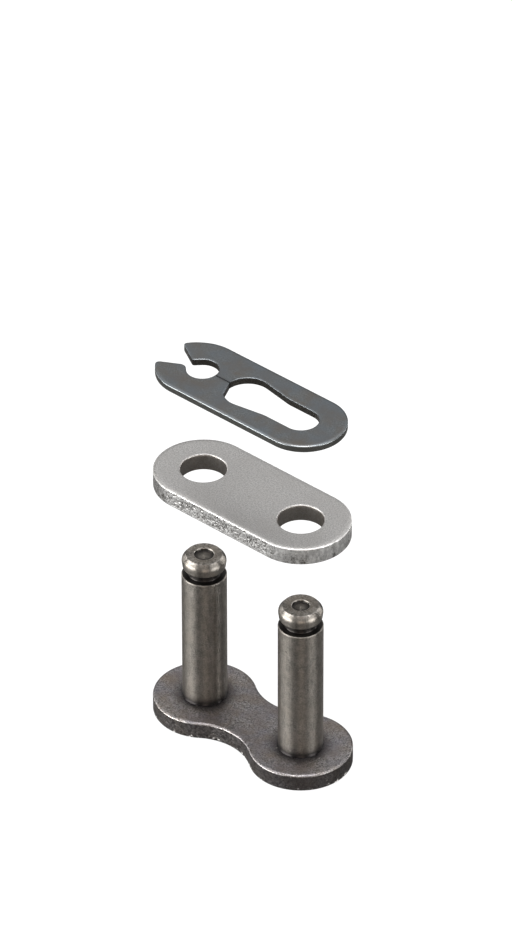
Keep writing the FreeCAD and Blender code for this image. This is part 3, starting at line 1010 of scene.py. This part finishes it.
@dataclass
class SpringClip:
    """The one-piece clip: closed round end, pear-shaped opening, slit, notch and flared mouth."""

    node: str = "spring_clip"
    slot: str = "clip_steel"
    open_end: float = 4.35
    flank_run: float = 3.95
    tip_spread: float = 3.94
    left_tip_round: float = 0.36
    right_tip_round: float = 0.45
    mouth: float = 1.0
    left_jaw_round: float = 0.28
    right_jaw_round: float = 0.7
    notch: float = 1.62
    slot_radius: float = 1.77
    slot_straight: float = 2.8
    slot_blend: float = 4.0
    wide: float = 2.37
    opening_offset: float = 0.5
    shear_flat: float = 1.95
    shear_round: float = 0.5
    slit: float = 0.05
    upper: Rim = Rim(0.36, 0.12)
    lower: Rim = Rim(0.08, 0.08, 5)
    wall_rows: int = 5
    face_rows: int = 13
    spacing: float = 0.085
    fade_columns: int = 8
    # Painted shadow along the slit: how dark it is, where it starts and ends, and how wide it is.
    slit_shadow_share: float = 0.85
    slit_shadow_start: Span = (-0.1, 0.1)
    slit_shadow_end: Span = (-0.05, 0.1)
    slit_shadow_width: Span = (0.03, 0.16)

    def side_ends(self) -> Span:
        """Where the straight long sides start and end along X."""
        high = node_box(self.node)[1]
        return self.flank_run - half_pitch() - self.open_end, high[0] - high[1]

    def slit_ends(self) -> Span:
        """Where the slit leaves the notch and where it meets the opening, along X."""
        return self.notch - half_pitch(), -self.opening_offset - self.wide

    def outline(self) -> Loop:
        """The whole edge as one loop: outer side, right mouth, inner side and left mouth.

        Left is the far side, at positive Y. A flank's radius is the squares of its drop and its
        run over twice the drop. The notch's walls touch its circle at 45 degrees. The opening's
        sides touch the wide circle and a blend arc, whose centre lies as far above the axis as
        the slot's and the blend's radii together.
        """
        width, reach = node_box(self.node)[1][1], half_pitch()
        side, closed = self.side_ends()
        tip = (side - self.flank_run, self.tip_spread / 2)
        drop, run = width - tip[1], self.flank_run
        flank = (drop ** 2 + run ** 2) / (2 * drop)
        sweep = math.degrees(math.atan2(run, flank - drop))
        half_mouth, half_slit = self.mouth / 2, self.slit / 2
        touch = (-reach - self.notch * math.sqrt(0.5), self.notch * math.sqrt(0.5))
        jaw = (touch[0] - (touch[1] - half_mouth), half_mouth)
        slit_turn = math.degrees(math.asin(half_slit / self.notch))
        slit_end = (-reach + self.notch * math.cos(math.radians(slit_turn)), half_slit)
        middle, straight = -self.opening_offset, reach - self.slot_straight
        along, above = straight - middle, self.slot_radius + self.slot_blend
        nearness = (self.wide + self.slot_blend) / math.hypot(along, above)
        lean = math.atan2(above, along) + math.acos(nearness)
        tilt = math.degrees(lean)
        taper = (middle + self.wide * math.cos(lean), self.wide * math.sin(lean))
        bend = (straight - self.slot_blend * math.cos(lean), above - self.slot_blend * math.sin(lean))
        wide_turn = math.degrees(math.asin(half_slit / self.wide))
        wide_start = (middle - self.wide * math.cos(math.radians(wide_turn)), half_slit)
        shear = 2 * math.asin(self.shear_flat / (2 * self.wide))
        flat_end = (middle - self.wide * math.cos(shear), -self.wide * math.sin(shear))
        slope = (flat_end[0] - (middle - self.wide)) / flat_end[1]
        flat_start = (middle - self.wide - half_slit * slope, -half_slit)
        shear_turn = math.degrees(shear)
        return Loop({
            "mouth_left": Run(on_line(jaw, tip), self.left_tip_round),
            "flank_left": Run(on_circle((side, width - flank), flank, 90 + sweep, 90)),
            "side_left": Run(on_line((side, width), (closed, width))),
            "closed": Run(on_circle((closed, 0.0), width, 90, -90)),
            "side_right": Run(on_line((closed, -width), (side, -width))),
            "flank_right": Run(on_circle((side, flank - width), flank, 270, 270 - sweep),
                               self.right_tip_round),
            "mouth_right": Run(on_line(flipped(tip), flipped(jaw)), self.right_jaw_round),
            "wall_right": Run(on_line(flipped(jaw), flipped(touch))),
            "notch_right": Run(on_circle((-reach, 0.0), self.notch, -135, -slit_turn)),
            "slit_right": Run(on_line(flipped(slit_end), flat_start)),
            "flat": Run(on_line(flat_start, flat_end), self.shear_round),
            "wide_right": Run(on_circle((middle, 0.0), self.wide, 180 + shear_turn, 360 - tilt)),
            "taper_right": Run(on_line(flipped(taper), flipped(bend))),
            "bend_right": Run(on_circle((straight, -above), self.slot_blend, 180 - tilt, 90)),
            "slot_right": Run(on_line((straight, -self.slot_radius), (reach, -self.slot_radius))),
            "slot_end": Run(on_circle((reach, 0.0), self.slot_radius, -90, 90)),
            "slot_left": Run(on_line((reach, self.slot_radius), (straight, self.slot_radius))),
            "bend_left": Run(on_circle((straight, above), self.slot_blend, 270, 180 + tilt)),
            "taper_left": Run(on_line(bend, taper)),
            "wide_left": Run(on_circle((middle, 0.0), self.wide, tilt, 180 - wide_turn)),
            "slit_left": Run(on_line(wide_start, slit_end)),
            "notch_left": Run(on_circle((-reach, 0.0), self.notch, slit_turn, 135)),
            "wall_left": Run(on_line(touch, jaw), self.left_jaw_round),
        })

    def stations(self, loop: Loop) -> list[Station]:
        """Lines across the ribbon, from the left jaw round the closed end to the right jaw."""
        side, closed = self.side_ends()

        def left(x: float) -> float:
            """Distance to where the left side has this x."""
            return loop.place("side_left", (x - side) / (closed - side))

        def right(x: float) -> float:
            """Distance to where the right side has this x."""
            return loop.place("side_right", (closed - x) / (closed - side))

        middle, straight = -self.opening_offset, half_pitch() - self.slot_straight
        notch_end, opening = self.slit_ends()
        before_slit, past_notch, near_opening = notch_end - 0.17, notch_end + 0.33, opening - 0.23
        return [
            Station(loop.corner("wall_left"), loop.corner("mouth_left"), 0.4, 0.6),
            Station(loop.place("notch_left", 1.0), loop.place("flank_left", 0.35), 0.5),
            Station(loop.place("notch_left", 0.66), loop.place("flank_left", 1.0), 0.5),
            Station(loop.place("notch_left", 0.15), left(before_slit), 0.25),
            Station(loop.place("slit_left", 1.0), left(past_notch), 0.1),
            Station(loop.place("slit_left", 0.0), left(near_opening), 0.1),
            Station(loop.place("wide_left", 0.85), left(opening + 0.17), 0.3),
            Station(loop.place("wide_left", 0.35), left(middle), 0.42),
            Station(loop.place("slot_left", 1.0), left(straight), 0.38),
            Station(loop.place("slot_left", 0.0), left(closed), 0.38),
            Station(loop.place("slot_end", 0.5), loop.place("closed", 0.5), 0.5),
            Station(loop.place("slot_right", 1.0), right(closed), 0.6),
            Station(loop.place("slot_right", 0.0), right(straight), 0.6),
            Station(loop.place("wide_right", 0.5), right(middle), 0.6),
            Station(loop.place("flat", 1.0), right(opening + 0.67), 0.6),
            Station(loop.place("flat", 0.3), right(opening + 0.07), 0.3),
            Station(loop.place("slit_right", 1.0), right(near_opening), 0.1),
            Station(loop.place("slit_right", 0.0), right(past_notch), 0.1),
            Station(loop.place("notch_right", 0.85), right(before_slit), 0.3),
            Station(loop.place("notch_right", 0.34), loop.place("flank_right", 0.0), 0.7),
            Station(loop.place("notch_right", 0.0), loop.place("flank_right", 0.65), 0.8),
            Station(loop.corner("mouth_right"), loop.corner("flank_right"), 0.8, 0.6),
        ]

    def lines(self, loop: Loop) -> list[np.ndarray]:
        """The stations' four values carried on to evenly spaced lines between the stations."""
        table = np.array([astuple(station) for station in self.stations(loop)])
        steps = np.ceil(np.abs(np.diff(table[:, :2], axis=0)).max(axis=1) / self.spacing)
        numbers = np.concatenate([[0], np.cumsum(np.maximum(steps, 2))])
        return [np.interp(np.arange(numbers[-1] + 1), numbers, column) for column in table.T]

    def ringed(self, outer: np.ndarray, inner: np.ndarray, closing: float = 0.0) -> np.ndarray:
        """Values round the whole edge: outer side, right mouth, inner side and left mouth.

        Args:
            outer: The lines' values on the outer side.
            inner: Their values on the inner side.
            closing: What the first value has grown by when the ring comes back to it.

        Returns:
            The values in order, with those of the mouths between their two ends'.
        """
        across = eased(self.face_rows)
        right_mouth = mixed(outer[-1], inner[-1], across)[1:-1]
        left_mouth = mixed(inner[0], outer[0] + closing, across)[1:]
        return np.concatenate([outer, right_mouth, inner[::-1], left_mouth])

    def build(self, body: str, material: bpy.types.Material) -> bpy.types.Object:
        """Make the clip as a ribbon: its edge swept round the loop, and faces of lines across.

        Args:
            body: The body that it rides on.
            material: Its material.

        Returns:
            The piece.
        """
        low, high = node_box(self.node)
        loop = self.outline()
        inner, outer, inner_rim, outer_rim = self.lines(loop)
        places = self.ringed(outer, inner, loop.length)
        rows = EdgeRows(self.upper, self.lower, self.wall_rows)
        edge = rows.sweep(loop.points(places), loop.normals(places), low[2], high[2],
                          self.ringed(outer_rim, inner_rim))
        # The walls of the inner side, round the opening, the slot and the notch, get painted shade.
        within = self.ringed(0 * outer, 0 * inner + 1)
        skin = Skin(f"{self.node}_skin")
        # The slit gets painted shadow on the edge here and on both faces below.
        skin.add(edge, marks={Mark.WALL: rows.wall, Mark.RIM: rows.rim, Mark.PIT_DIRT_AND_SHADE: self.slit_shadow(edge),
                              Mark.BORE_SHADE: rows.wall * within[None]})
        for row, is_top in FACES:
            face = self.face(edge[row], len(inner))
            skin.add(face, flip=not is_top, marks={Mark.PIT_DIRT_AND_SHADE: self.slit_shadow(face)})
        return skin.build(body, self.slot, material, self.node)

    def face(self, ring: np.ndarray, count: int) -> np.ndarray:
        """Straight lines from the inner to the outer side, bent at both mouths to meet the edge.

        The difference between a mouth and its last line fades out over the nearest lines.

        Args:
            ring: The edge's points round the face.
            count: How many lines there are.

        Returns:
            A grid with a column for each line.
        """
        last, turn = count - 1, self.face_rows - 1
        outside = ring[:count]
        right_end = ring[last:last + turn + 1][::-1]
        inside = ring[last + turn:2 * last + turn + 1][::-1]
        left_end = ring[2 * last + turn:]
        face = mixed(inside, outside, eased(self.face_rows)[:, None, None])
        fade = np.clip(1 - np.arange(count) / self.fade_columns, 0, 1)[None, :, None]
        left_off, right_off = left_end - face[:, 0], right_end - face[:, -1]
        return face + left_off[:, None] * fade + right_off[:, None] * fade[:, ::-1]

    def slit_shadow(self, points: np.ndarray) -> np.ndarray:
        """Painted shadow on both sides of the slit, from 0 to 1."""
        notch_end, opening = self.slit_ends()
        return (self.slit_shadow_share * smoothstep(points[..., 0] - notch_end, *self.slit_shadow_start)
                * fading(points[..., 0] - opening, *self.slit_shadow_end)
                * fading(np.abs(points[..., 1]), *self.slit_shadow_width))


def opaque(colour: object) -> object:
    """A colour with full opacity, or whatever else is given as it is."""
    return (*colour, 1.0) if isinstance(colour, tuple) and len(colour) == 3 else colour


class Graph:
    """A node tree, with short calls that add a node and link it.

    Args:
        tree: The tree.
    """

    NOISE_SPAN = (0.3, 0.7)

    def __init__(self, tree: bpy.types.NodeTree) -> None:
        self.tree = tree

    def feed(self, node: bpy.types.Node, sockets: dict) -> None:
        """Give a node's inputs, by name or number, a value or the output that feeds them."""
        for key, value in sockets.items():
            if isinstance(value, bpy.types.NodeSocket):
                self.tree.links.new(value, node.inputs[key])
            else:
                node.inputs[key].default_value = value

    def add(self, kind: str, sockets: dict | None = None, **settings: object) -> bpy.types.Node:
        """Add a node.

        Args:
            kind: The node's type.
            sockets: Input name or number, with a value or the output that feeds it.
            settings: The node's own settings.

        Returns:
            The node.
        """
        node = self.tree.nodes.new(kind)
        for name, value in settings.items():
            setattr(node, name, value)
        self.feed(node, sockets or {})
        return node

    def math(self, operation: str, *values: object) -> bpy.types.NodeSocket:
        """The result of one sum on values or outputs."""
        return self.add("ShaderNodeMath", dict(enumerate(values)), operation=operation).outputs[0]

    def times(self, first: object, second: object) -> bpy.types.NodeSocket:
        """The product of two values."""
        return self.math("MULTIPLY", first, second)

    def span(self, value: object, low: float, high: float, start: float = 0.0,
             end: float = 1.0) -> bpy.types.NodeSocket:
        """A value carried from one span to another with a soft start and end."""
        return self.add("ShaderNodeMapRange", {0: value, 1: low, 2: high, 3: start, 4: end},
                        interpolation_type="SMOOTHSTEP").outputs[0]

    def between(self, share: object, first: object, second: object) -> bpy.types.NodeSocket:
        """A value between two values."""
        return self.add("ShaderNodeMix", {0: share, 2: first, 3: second}).outputs[0]

    def blend(self, share: object, first: object, second: object,
              mode: str = "MIX") -> bpy.types.NodeSocket:
        """A colour between two colours."""
        colours = {6: opaque(first), 7: opaque(second)}
        return self.add("ShaderNodeMix", {0: share, **colours}, data_type="RGBA",
                        blend_type=mode).outputs[2]

    def stain(self, colour: object, mask: object, share: object, tone: object) -> bpy.types.NodeSocket:
        """A colour that turns to a tone where a mask shows, by a share."""
        return self.blend(self.times(mask, share), colour, tone)

    def noise(self, where: object, scale: object, detail: float = 2.0,
              roughness: float = 0.5) -> bpy.types.NodeSocket:
        """Soft noise, spread to 0 to 1 from the middle span that it seldom leaves."""
        noise = self.add("ShaderNodeTexNoise", {"Vector": where, "Scale": scale, "Detail": detail,
                                                "Roughness": roughness})
        return self.span(noise.outputs[0], *self.NOISE_SPAN)

    def mark(self, mark: Mark) -> bpy.types.NodeSocket:
        """What the surface remembers."""
        return self.add("ShaderNodeAttribute", attribute_name=mark.value).outputs["Fac"]

    def group(self, tree: bpy.types.NodeTree, sockets: dict) -> bpy.types.Node:
        """A group node with its inputs set."""
        return self.add("ShaderNodeGroup", sockets, node_tree=tree)


def cleared(owner: bpy.types.Material | bpy.types.World) -> Graph:
    """The graph of a new material or world, with the nodes that it came with taken out."""
    owner.use_nodes = True
    owner.node_tree.nodes.clear()
    return Graph(owner.node_tree)


class Effect:
    """A shader node group that several finishes use, built once.

    Args:
        name: Its name.
        inputs: Input names with their socket types and first values.
        outputs: Output names.
    """

    def __init__(self, name: str, inputs: dict[str, tuple[str, object]],
                 outputs: tuple[str, ...]) -> None:
        self.tree = bpy.data.node_groups.new(name, "ShaderNodeTree")
        for label, (kind, value) in inputs.items():
            socket = self.tree.interface.new_socket(label, in_out="INPUT", socket_type=kind)
            socket.default_value = value
        for label in outputs:
            self.tree.interface.new_socket(label, in_out="OUTPUT", socket_type="NodeSocketFloat")
        self.graph = Graph(self.tree)
        self.given = self.graph.add("NodeGroupInput").outputs
        self.result = self.graph.add("NodeGroupOutput").inputs
        self.place = self.graph.add("ShaderNodeTexCoord").outputs["Object"]

    def put(self, label: str, value: bpy.types.NodeSocket) -> None:
        """Send a value out of the group."""
        self.tree.links.new(value, self.result[label])


def grain_effect() -> bpy.types.NodeTree:
    """Fine grain with slow clouds over it, both from noise on Object coordinates."""
    effect = Effect("grain", {
        "Per Metre": ("NodeSocketFloat", 5000.0),
        "Clouds Per Metre": ("NodeSocketFloat", 500.0),
    }, ("Fine", "Cloud"))
    for label, scale, roughness in (("Fine", "Per Metre", 0.6), ("Cloud", "Clouds Per Metre", 0.55)):
        effect.put(label, effect.graph.noise(effect.place, effect.given[scale], 3.0, roughness))
    return effect.tree


def speck_effect() -> bpy.types.NodeTree:
    """Scattered specks: a cell shows one where its distance to its centre is under a share."""
    effect = Effect("specks", {
        "Per Metre": ("NodeSocketFloat", 1500.0),
        "Size": ("NodeSocketFloat", 0.2),
        "Kept": ("NodeSocketFloat", 0.3),
    }, ("Mask",))
    graph = effect.graph
    cells = graph.add("ShaderNodeTexVoronoi", {"Vector": effect.place,
                                               "Scale": effect.given["Per Metre"]})
    near = graph.math("LESS_THAN", cells.outputs["Distance"], effect.given["Size"])
    draw = graph.add("ShaderNodeSeparateColor", {0: cells.outputs["Color"]}).outputs[0]
    kept = graph.math("LESS_THAN", draw, effect.given["Kept"])
    effect.put("Mask", graph.times(near, kept))
    return effect.tree


def streak_effect() -> bpy.types.NodeTree:
    """Soft streaks: noise on Object coordinates that are stretched more one way than another."""
    effect = Effect("streaks", {"Per Metre": ("NodeSocketVector", (500.0, 500.0, 500.0))}, ("Streak",))
    graph = effect.graph
    place = graph.add("ShaderNodeVectorMath", {0: effect.place, 1: effect.given["Per Metre"]},
                      operation="MULTIPLY").outputs[0]
    effect.put("Streak", graph.noise(place, 1.0))
    return effect.tree


class Effects:
    """The shared effects, each built once."""

    def __init__(self) -> None:
        self.grain = grain_effect()
        self.specks = speck_effect()
        self.streaks = streak_effect()


@dataclass(frozen=True)
class SteelFinish:
    """A steel's finish: its tones, how they lie over each other, and its sheen and grain."""

    name: str
    dark: Colour
    light: Colour
    cloud: Colour
    cloud_share: float
    wall: Colour
    wall_share: float
    # Tone of the painted shade on the walls of holes.
    bore: Colour
    # Tone and share of the rims rubbed by use, with a painted highlight on them.
    rim_wear_and_highlight: Colour
    rim_wear_and_highlight_share: float
    # Tone of the pits, the dark grain and the painted shade.
    pit: Colour
    pit_gap: float
    speck: Colour
    speck_share: float
    speck_spacing: float
    speck_size: float
    speck_kept: float
    grain: float
    cloud_size: float
    streak: tuple[float, float, float]
    streak_share: float
    tint: Colour
    tint_share: float
    rough_low: float
    rough_high: float
    rim_rough: float
    # Where the grain lets the rubbed rims and their painted highlight show.
    wear_and_highlight_from: float
    depth: float
    anisotropy: float = 0.0
    # True to paint glints on small burrs.
    burr_glints: bool = False

    BORE_SHADE_GRAIN = 0.82
    WEAR_AND_HIGHLIGHT_SPAN = 0.5
    PIT_GRAIN = (0.1, 0.7)
    # Tone of the painted burr glints, which are not metal.
    BURR_GLINT_TONE = (0.9, 0.88, 0.85)
    TURNING_LINES = 0.25

    def build(self, effects: Effects) -> bpy.types.Material:
        """Make the material.

        Args:
            effects: The shared effects.

        Returns:
            The material.
        """
        material = bpy.data.materials.new(self.name)
        graph = cleared(material)
        shader = graph.add("ShaderNodeBsdfPrincipled", {"Metallic": 1.0})
        graph.add("ShaderNodeOutputMaterial", {0: shader.outputs[0]})
        grain = graph.group(effects.grain, {"Per Metre": 1 / (self.grain * MM),
                                            "Clouds Per Metre": 1 / (self.cloud_size * MM)})
        fine, rim = grain.outputs["Fine"], graph.mark(Mark.RIM)
        colour = self.tones(graph, effects, fine, grain.outputs["Cloud"], rim)
        # Painted glints on small burrs: a pale tone that is not metal.
        if self.burr_glints:
            nick = graph.mark(Mark.BURR_GLINT)
            colour = graph.blend(nick, colour, self.BURR_GLINT_TONE)
            graph.feed(shader, {"Metallic": graph.between(nick, 1.0, 0.0)})
        rough = graph.span(fine, 0.0, 1.0, self.rough_low, self.rough_high)
        bump = graph.add("ShaderNodeBump", {"Height": fine, "Distance": self.depth * MM,
                                            "Strength": 1.0})
        graph.feed(shader, {"Base Color": colour, "Normal": bump.outputs[0],
                            "Roughness": graph.between(rim, rough, self.rim_rough)})
        if self.anisotropy:
            tangent = graph.add("ShaderNodeTangent", direction_type="RADIAL", axis="Z")
            graph.feed(shader, {"Anisotropic": self.anisotropy, "Tangent": tangent.outputs[0],
                                "Anisotropic Rotation": self.TURNING_LINES})
        return material

    def tones(self, graph: Graph, effects: Effects, fine: bpy.types.NodeSocket,
              cloud: bpy.types.NodeSocket, rim: bpy.types.NodeSocket) -> bpy.types.NodeSocket:
        """Lay the tones over each other: grain, clouds, tint, wall, painted shade on hole walls,
        rubbed rims with a painted highlight, pits and dark grain with painted shade, and specks.

        Args:
            graph: The material's graph.
            effects: The shared effects.
            fine: The fine grain.
            cloud: The slow clouds.
            rim: How much of a rim each point is.

        Returns:
            The colour.
        """
        specks = graph.group(effects.specks, {"Per Metre": 1 / (self.speck_spacing * MM),
                                              "Size": self.speck_size, "Kept": self.speck_kept})
        spread = [1 / (cell * MM) for cell in self.streak]
        streak = graph.group(effects.streaks, {"Per Metre": spread}).outputs[0]
        wall = graph.mark(Mark.WALL)
        colour = graph.blend(fine, self.dark, self.light)
        colour = graph.stain(colour, cloud, self.cloud_share, self.cloud)
        colour = graph.stain(colour, streak, self.tint_share, self.tint)
        colour = graph.stain(colour, wall, self.wall_share, self.wall)
        shade = graph.span(streak, 0.0, 1.0, 1 - self.streak_share, 1 + self.streak_share)
        colour = graph.blend(wall, colour, graph.blend(1.0, colour, shade, "MULTIPLY"))
        # Painted shade on the walls of holes, broken up by the grain.
        bore_shade_share = graph.span(fine, 0.0, 1.0, 1.0, self.BORE_SHADE_GRAIN)
        colour = graph.stain(colour, graph.mark(Mark.BORE_SHADE), bore_shade_share, self.bore)
        # Rims rubbed by use, with a painted highlight, broken up by the grain.
        wear_and_highlight = graph.times(rim, graph.span(fine, self.wear_and_highlight_from, self.wear_and_highlight_from + self.WEAR_AND_HIGHLIGHT_SPAN))
        colour = graph.stain(colour, wear_and_highlight, self.rim_wear_and_highlight_share, self.rim_wear_and_highlight)
        # Pits, dark grain and painted shade, broken up by the grain.
        patchy = graph.span(fine, *self.PIT_GRAIN, 1.0, self.pit_gap)
        colour = graph.stain(colour, graph.mark(Mark.PIT_DIRT_AND_SHADE), patchy, self.pit)
        return graph.stain(colour, specks.outputs[0], self.speck_share, self.speck)


PIN_PLATE_FINISH = SteelFinish(
    "blasted_steel", dark=(0.1, 0.092, 0.092), light=(0.435, 0.413, 0.402), cloud=(0.22, 0.17, 0.13),
    cloud_share=0.6, wall=(0.18, 0.165, 0.15), wall_share=0.4, bore=(0.1, 0.09, 0.085),
    rim_wear_and_highlight=(0.75, 0.74, 0.72), rim_wear_and_highlight_share=0.25, pit=(0.03, 0.027, 0.028), pit_gap=1.0,
    speck=(0.6, 0.55, 0.5), speck_share=0.35, speck_spacing=0.7, speck_size=0.14, speck_kept=0.25,
    grain=0.15, cloud_size=1.9, streak=(2.6, 2.6, 2.6), streak_share=0.05, tint=(0.19, 0.19, 0.24),
    tint_share=0.35, rough_low=0.32, rough_high=0.44, rim_rough=0.3, wear_and_highlight_from=0.35, depth=0.014,
    burr_glints=True)
COVER_PLATE_FINISH = SteelFinish(
    "satin_nickel_steel", dark=(0.41, 0.4, 0.39), light=(0.73, 0.715, 0.7), cloud=(0.52, 0.5, 0.48),
    cloud_share=0.35, wall=(0.93, 0.92, 0.9), wall_share=0.88, bore=(0.25, 0.225, 0.2),
    rim_wear_and_highlight=(0.9, 0.89, 0.87), rim_wear_and_highlight_share=0.15, pit=(0.15, 0.138, 0.125), pit_gap=0.42,
    speck=(0.2, 0.18, 0.16), speck_share=0.2, speck_spacing=1.4, speck_size=0.1, speck_kept=0.1,
    grain=0.14, cloud_size=3.0, streak=(0.45, 0.45, 0.7), streak_share=0.16, tint=(0.6, 0.6, 0.61),
    tint_share=0.1, rough_low=0.34, rough_high=0.42, rim_rough=0.5, wear_and_highlight_from=0.0, depth=0.003)
CLIP_FINISH = SteelFinish(
    "blued_steel", dark=(0.15, 0.156, 0.158), light=(0.255, 0.268, 0.272), cloud=(0.19, 0.168, 0.145),
    cloud_share=0.8, wall=(0.2, 0.2, 0.185), wall_share=0.9, bore=(0.085, 0.078, 0.07),
    rim_wear_and_highlight=(0.42, 0.49, 0.56), rim_wear_and_highlight_share=0.25, pit=(0.03, 0.03, 0.03), pit_gap=1.0,
    speck=(0.08, 0.08, 0.08), speck_share=0.3, speck_spacing=1.2, speck_size=0.1, speck_kept=0.12,
    grain=0.15, cloud_size=1.8, streak=(2.6, 2.6, 2.6), streak_share=0.05,
    tint=(0.175, 0.207, 0.24), tint_share=0.5, rough_low=0.28, rough_high=0.34, rim_rough=0.32,
    wear_and_highlight_from=-0.2, depth=0.002)
PIN_FINISH = SteelFinish(
    "turned_steel", dark=(0.07, 0.064, 0.058), light=(0.43, 0.405, 0.37), cloud=(0.22, 0.18, 0.14),
    cloud_share=0.45, wall=(0.23, 0.214, 0.192), wall_share=0.62, bore=(0.1, 0.1, 0.1),
    rim_wear_and_highlight=(0.62, 0.59, 0.55), rim_wear_and_highlight_share=0.7, pit=(0.025, 0.023, 0.023), pit_gap=1.0,
    speck=(0.05, 0.045, 0.04), speck_share=0.5, speck_spacing=1.6, speck_size=0.08, speck_kept=0.2,
    grain=0.15, cloud_size=2.2, streak=(0.6, 0.6, 0.9), streak_share=0.1,
    tint=(0.24, 0.205, 0.165), tint_share=0.4, rough_low=0.34, rough_high=0.42, rim_rough=0.4,
    wear_and_highlight_from=-0.2, depth=0.004, anisotropy=0.75)


def away_from(azimuth: float, elevation: float) -> Vector:
    """Direction from the object to a viewer, with azimuth 0 looking along +Y, in degrees."""
    turn, rise = math.radians(azimuth), math.radians(elevation)
    return Vector((math.sin(turn) * math.cos(rise), -math.cos(turn) * math.cos(rise), math.sin(rise)))


@dataclass(frozen=True)
class Softbox:
    """A soft area light that looks at the object: where it stands, its size and its radiance."""

    name: str
    azimuth: float
    elevation: float
    distance: float
    width: float
    height: float
    radiance: float
    colour: Colour = WHITE

    def build(self, aim: Vector) -> None:
        """Add the light. Its power is the radiance times pi times its area.

        Args:
            aim: The point that it faces.
        """
        light = bpy.data.lights.new(self.name, "AREA")
        light.shape = "RECTANGLE"
        light.size, light.size_y = self.width, self.height
        light.energy = self.radiance * math.pi * self.width * self.height
        light.color = self.colour
        lamp = add_object(self.name, light)
        lamp.location = aim + away_from(self.azimuth, self.elevation) * self.distance
        lamp.rotation_euler = (lamp.location - aim).to_track_quat("Z", "Y").to_euler()
        lamp.visible_camera = False


@dataclass(frozen=True)
class Studio:
    """The floor, the pale room, the softboxes and the camera."""

    azimuth: float = 41.841
    elevation: float = 35.812
    roll: float = 0.124
    lens: float = 309.648
    distance: float = 791.40
    sensor: float = 36.0
    clip: Span = (0.01, 50.0)
    aim: tuple[float, float, float] = (0.2946, 0.2638, 31.8807)
    floor_size: float = 20.0
    floor_tone: float = 0.1
    floor_roughness: float = 0.9
    floor_gloss: float = 0.1
    floor_lift: float = 0.95
    horizon: float = 0.1
    zenith: float = 0.95
    softboxes: tuple[Softbox, ...] = (
        Softbox("overhead_softbox", 40.0, 84.0, 0.7, 0.36, 0.36, 8.5),
        Softbox("left_softbox", -30.0, 10.0, 0.8, 0.76, 0.4, 13.6),
        Softbox("far_left_softbox", -84.0, 4.0, 0.8, 0.5, 0.14, 5.0),
        Softbox("camera_side_softbox", 45.0, 5.0, 0.9, 0.4, 0.4, 3.6, (1.0, 0.87, 0.77)),
        Softbox("right_softbox", 97.0, 10.0, 0.8, 0.46, 0.4, 8.4),
        Softbox("far_right_softbox", 162.0, 4.0, 0.8, 0.5, 0.14, 6.5),
    )

    def build(self) -> None:
        """Set up the whole studio."""
        centre = Vector(self.aim) * MM
        self.add_floor()
        self.add_room()
        for softbox in self.softboxes:
            softbox.build(centre)
        self.add_camera(centre)
        bpy.context.scene.view_settings.view_transform = "Standard"

    def add_floor(self) -> None:
        """A plain floor at the object's lowest level: white to the eye, and greyer in the steel."""
        half = self.floor_size / 2
        mesh = bpy.data.meshes.new("floor")
        mesh.from_pydata([(-half, -half, 0), (half, -half, 0), (half, half, 0), (-half, half, 0)],
                         [], [(0, 1, 2, 3)])
        material = bpy.data.materials.new("pale_floor")
        graph = cleared(material)
        seen = graph.add("ShaderNodeLightPath").outputs["Is Camera Ray"]
        shader = graph.add("ShaderNodeBsdfPrincipled", {
            "Base Color": opaque((self.floor_tone,) * 3), "Roughness": self.floor_roughness,
            "Specular IOR Level": self.floor_gloss, "Emission Color": opaque(WHITE),
            "Emission Strength": graph.times(seen, self.floor_lift),
        })
        graph.add("ShaderNodeOutputMaterial", {0: shader.outputs[0]})
        mesh.materials.append(material)
        floor = add_object("floor", mesh)

    def add_room(self) -> None:
        """A plain pale room that is brighter overhead than at the horizon."""
        world = bpy.data.worlds.new("room")
        graph = cleared(world)
        way = graph.add("ShaderNodeTexCoord").outputs["Generated"]
        rise = graph.add("ShaderNodeSeparateXYZ", {0: way}).outputs[2]
        glow = graph.span(rise, 0.0, 1.0, self.horizon, self.zenith)
        seen = graph.add("ShaderNodeLightPath").outputs["Is Camera Ray"]
        back = graph.add("ShaderNodeBackground", {0: opaque(WHITE), 1: graph.between(seen, glow, 1.0)})
        graph.add("ShaderNodeOutputWorld", {0: back.outputs[0]})
        bpy.context.scene.world = world

    def add_camera(self, centre: Vector) -> None:
        """A long lens at the photograph's viewing angle.

        Args:
            centre: The point in the middle of the picture.
        """
        back = away_from(self.azimuth, self.elevation)
        turn = math.radians(self.azimuth)
        right = Vector((math.cos(turn), math.sin(turn), 0.0))
        up = back.cross(right)
        roll = math.radians(self.roll)
        side = right * math.cos(roll) - up * math.sin(roll)
        top = up * math.cos(roll) + right * math.sin(roll)
        data = bpy.data.cameras.new("camera")
        data.lens = self.lens
        data.sensor_width = self.sensor
        data.clip_start, data.clip_end = self.clip
        camera = add_object("camera", data)
        turned = Matrix((side, top, back)).transposed().to_4x4()
        camera.matrix_world = Matrix.Translation(centre + back * self.distance * MM) @ turned
        bpy.context.scene.camera = camera


def main() -> None:
    """Build the pieces in order, then the studio."""
    effects = Effects()
    pin_steel = PIN_FINISH.build(effects)
    PinPlate().build("pin_link", PIN_PLATE_FINISH.build(effects))
    TurnedPin("rear_pin", End.REAR, 0.99).build("pin_link", pin_steel)
    TurnedPin("front_pin", End.FRONT, 0.9).build("pin_link", pin_steel)
    CoverPlate().build("cover_plate", COVER_PLATE_FINISH.build(effects))
    SpringClip().build("spring_clip", CLIP_FINISH.build(effects))
    Studio().build()


if __name__ == "__main__":
    logging.basicConfig(level=logging.INFO, format="%(message)s")
    main()
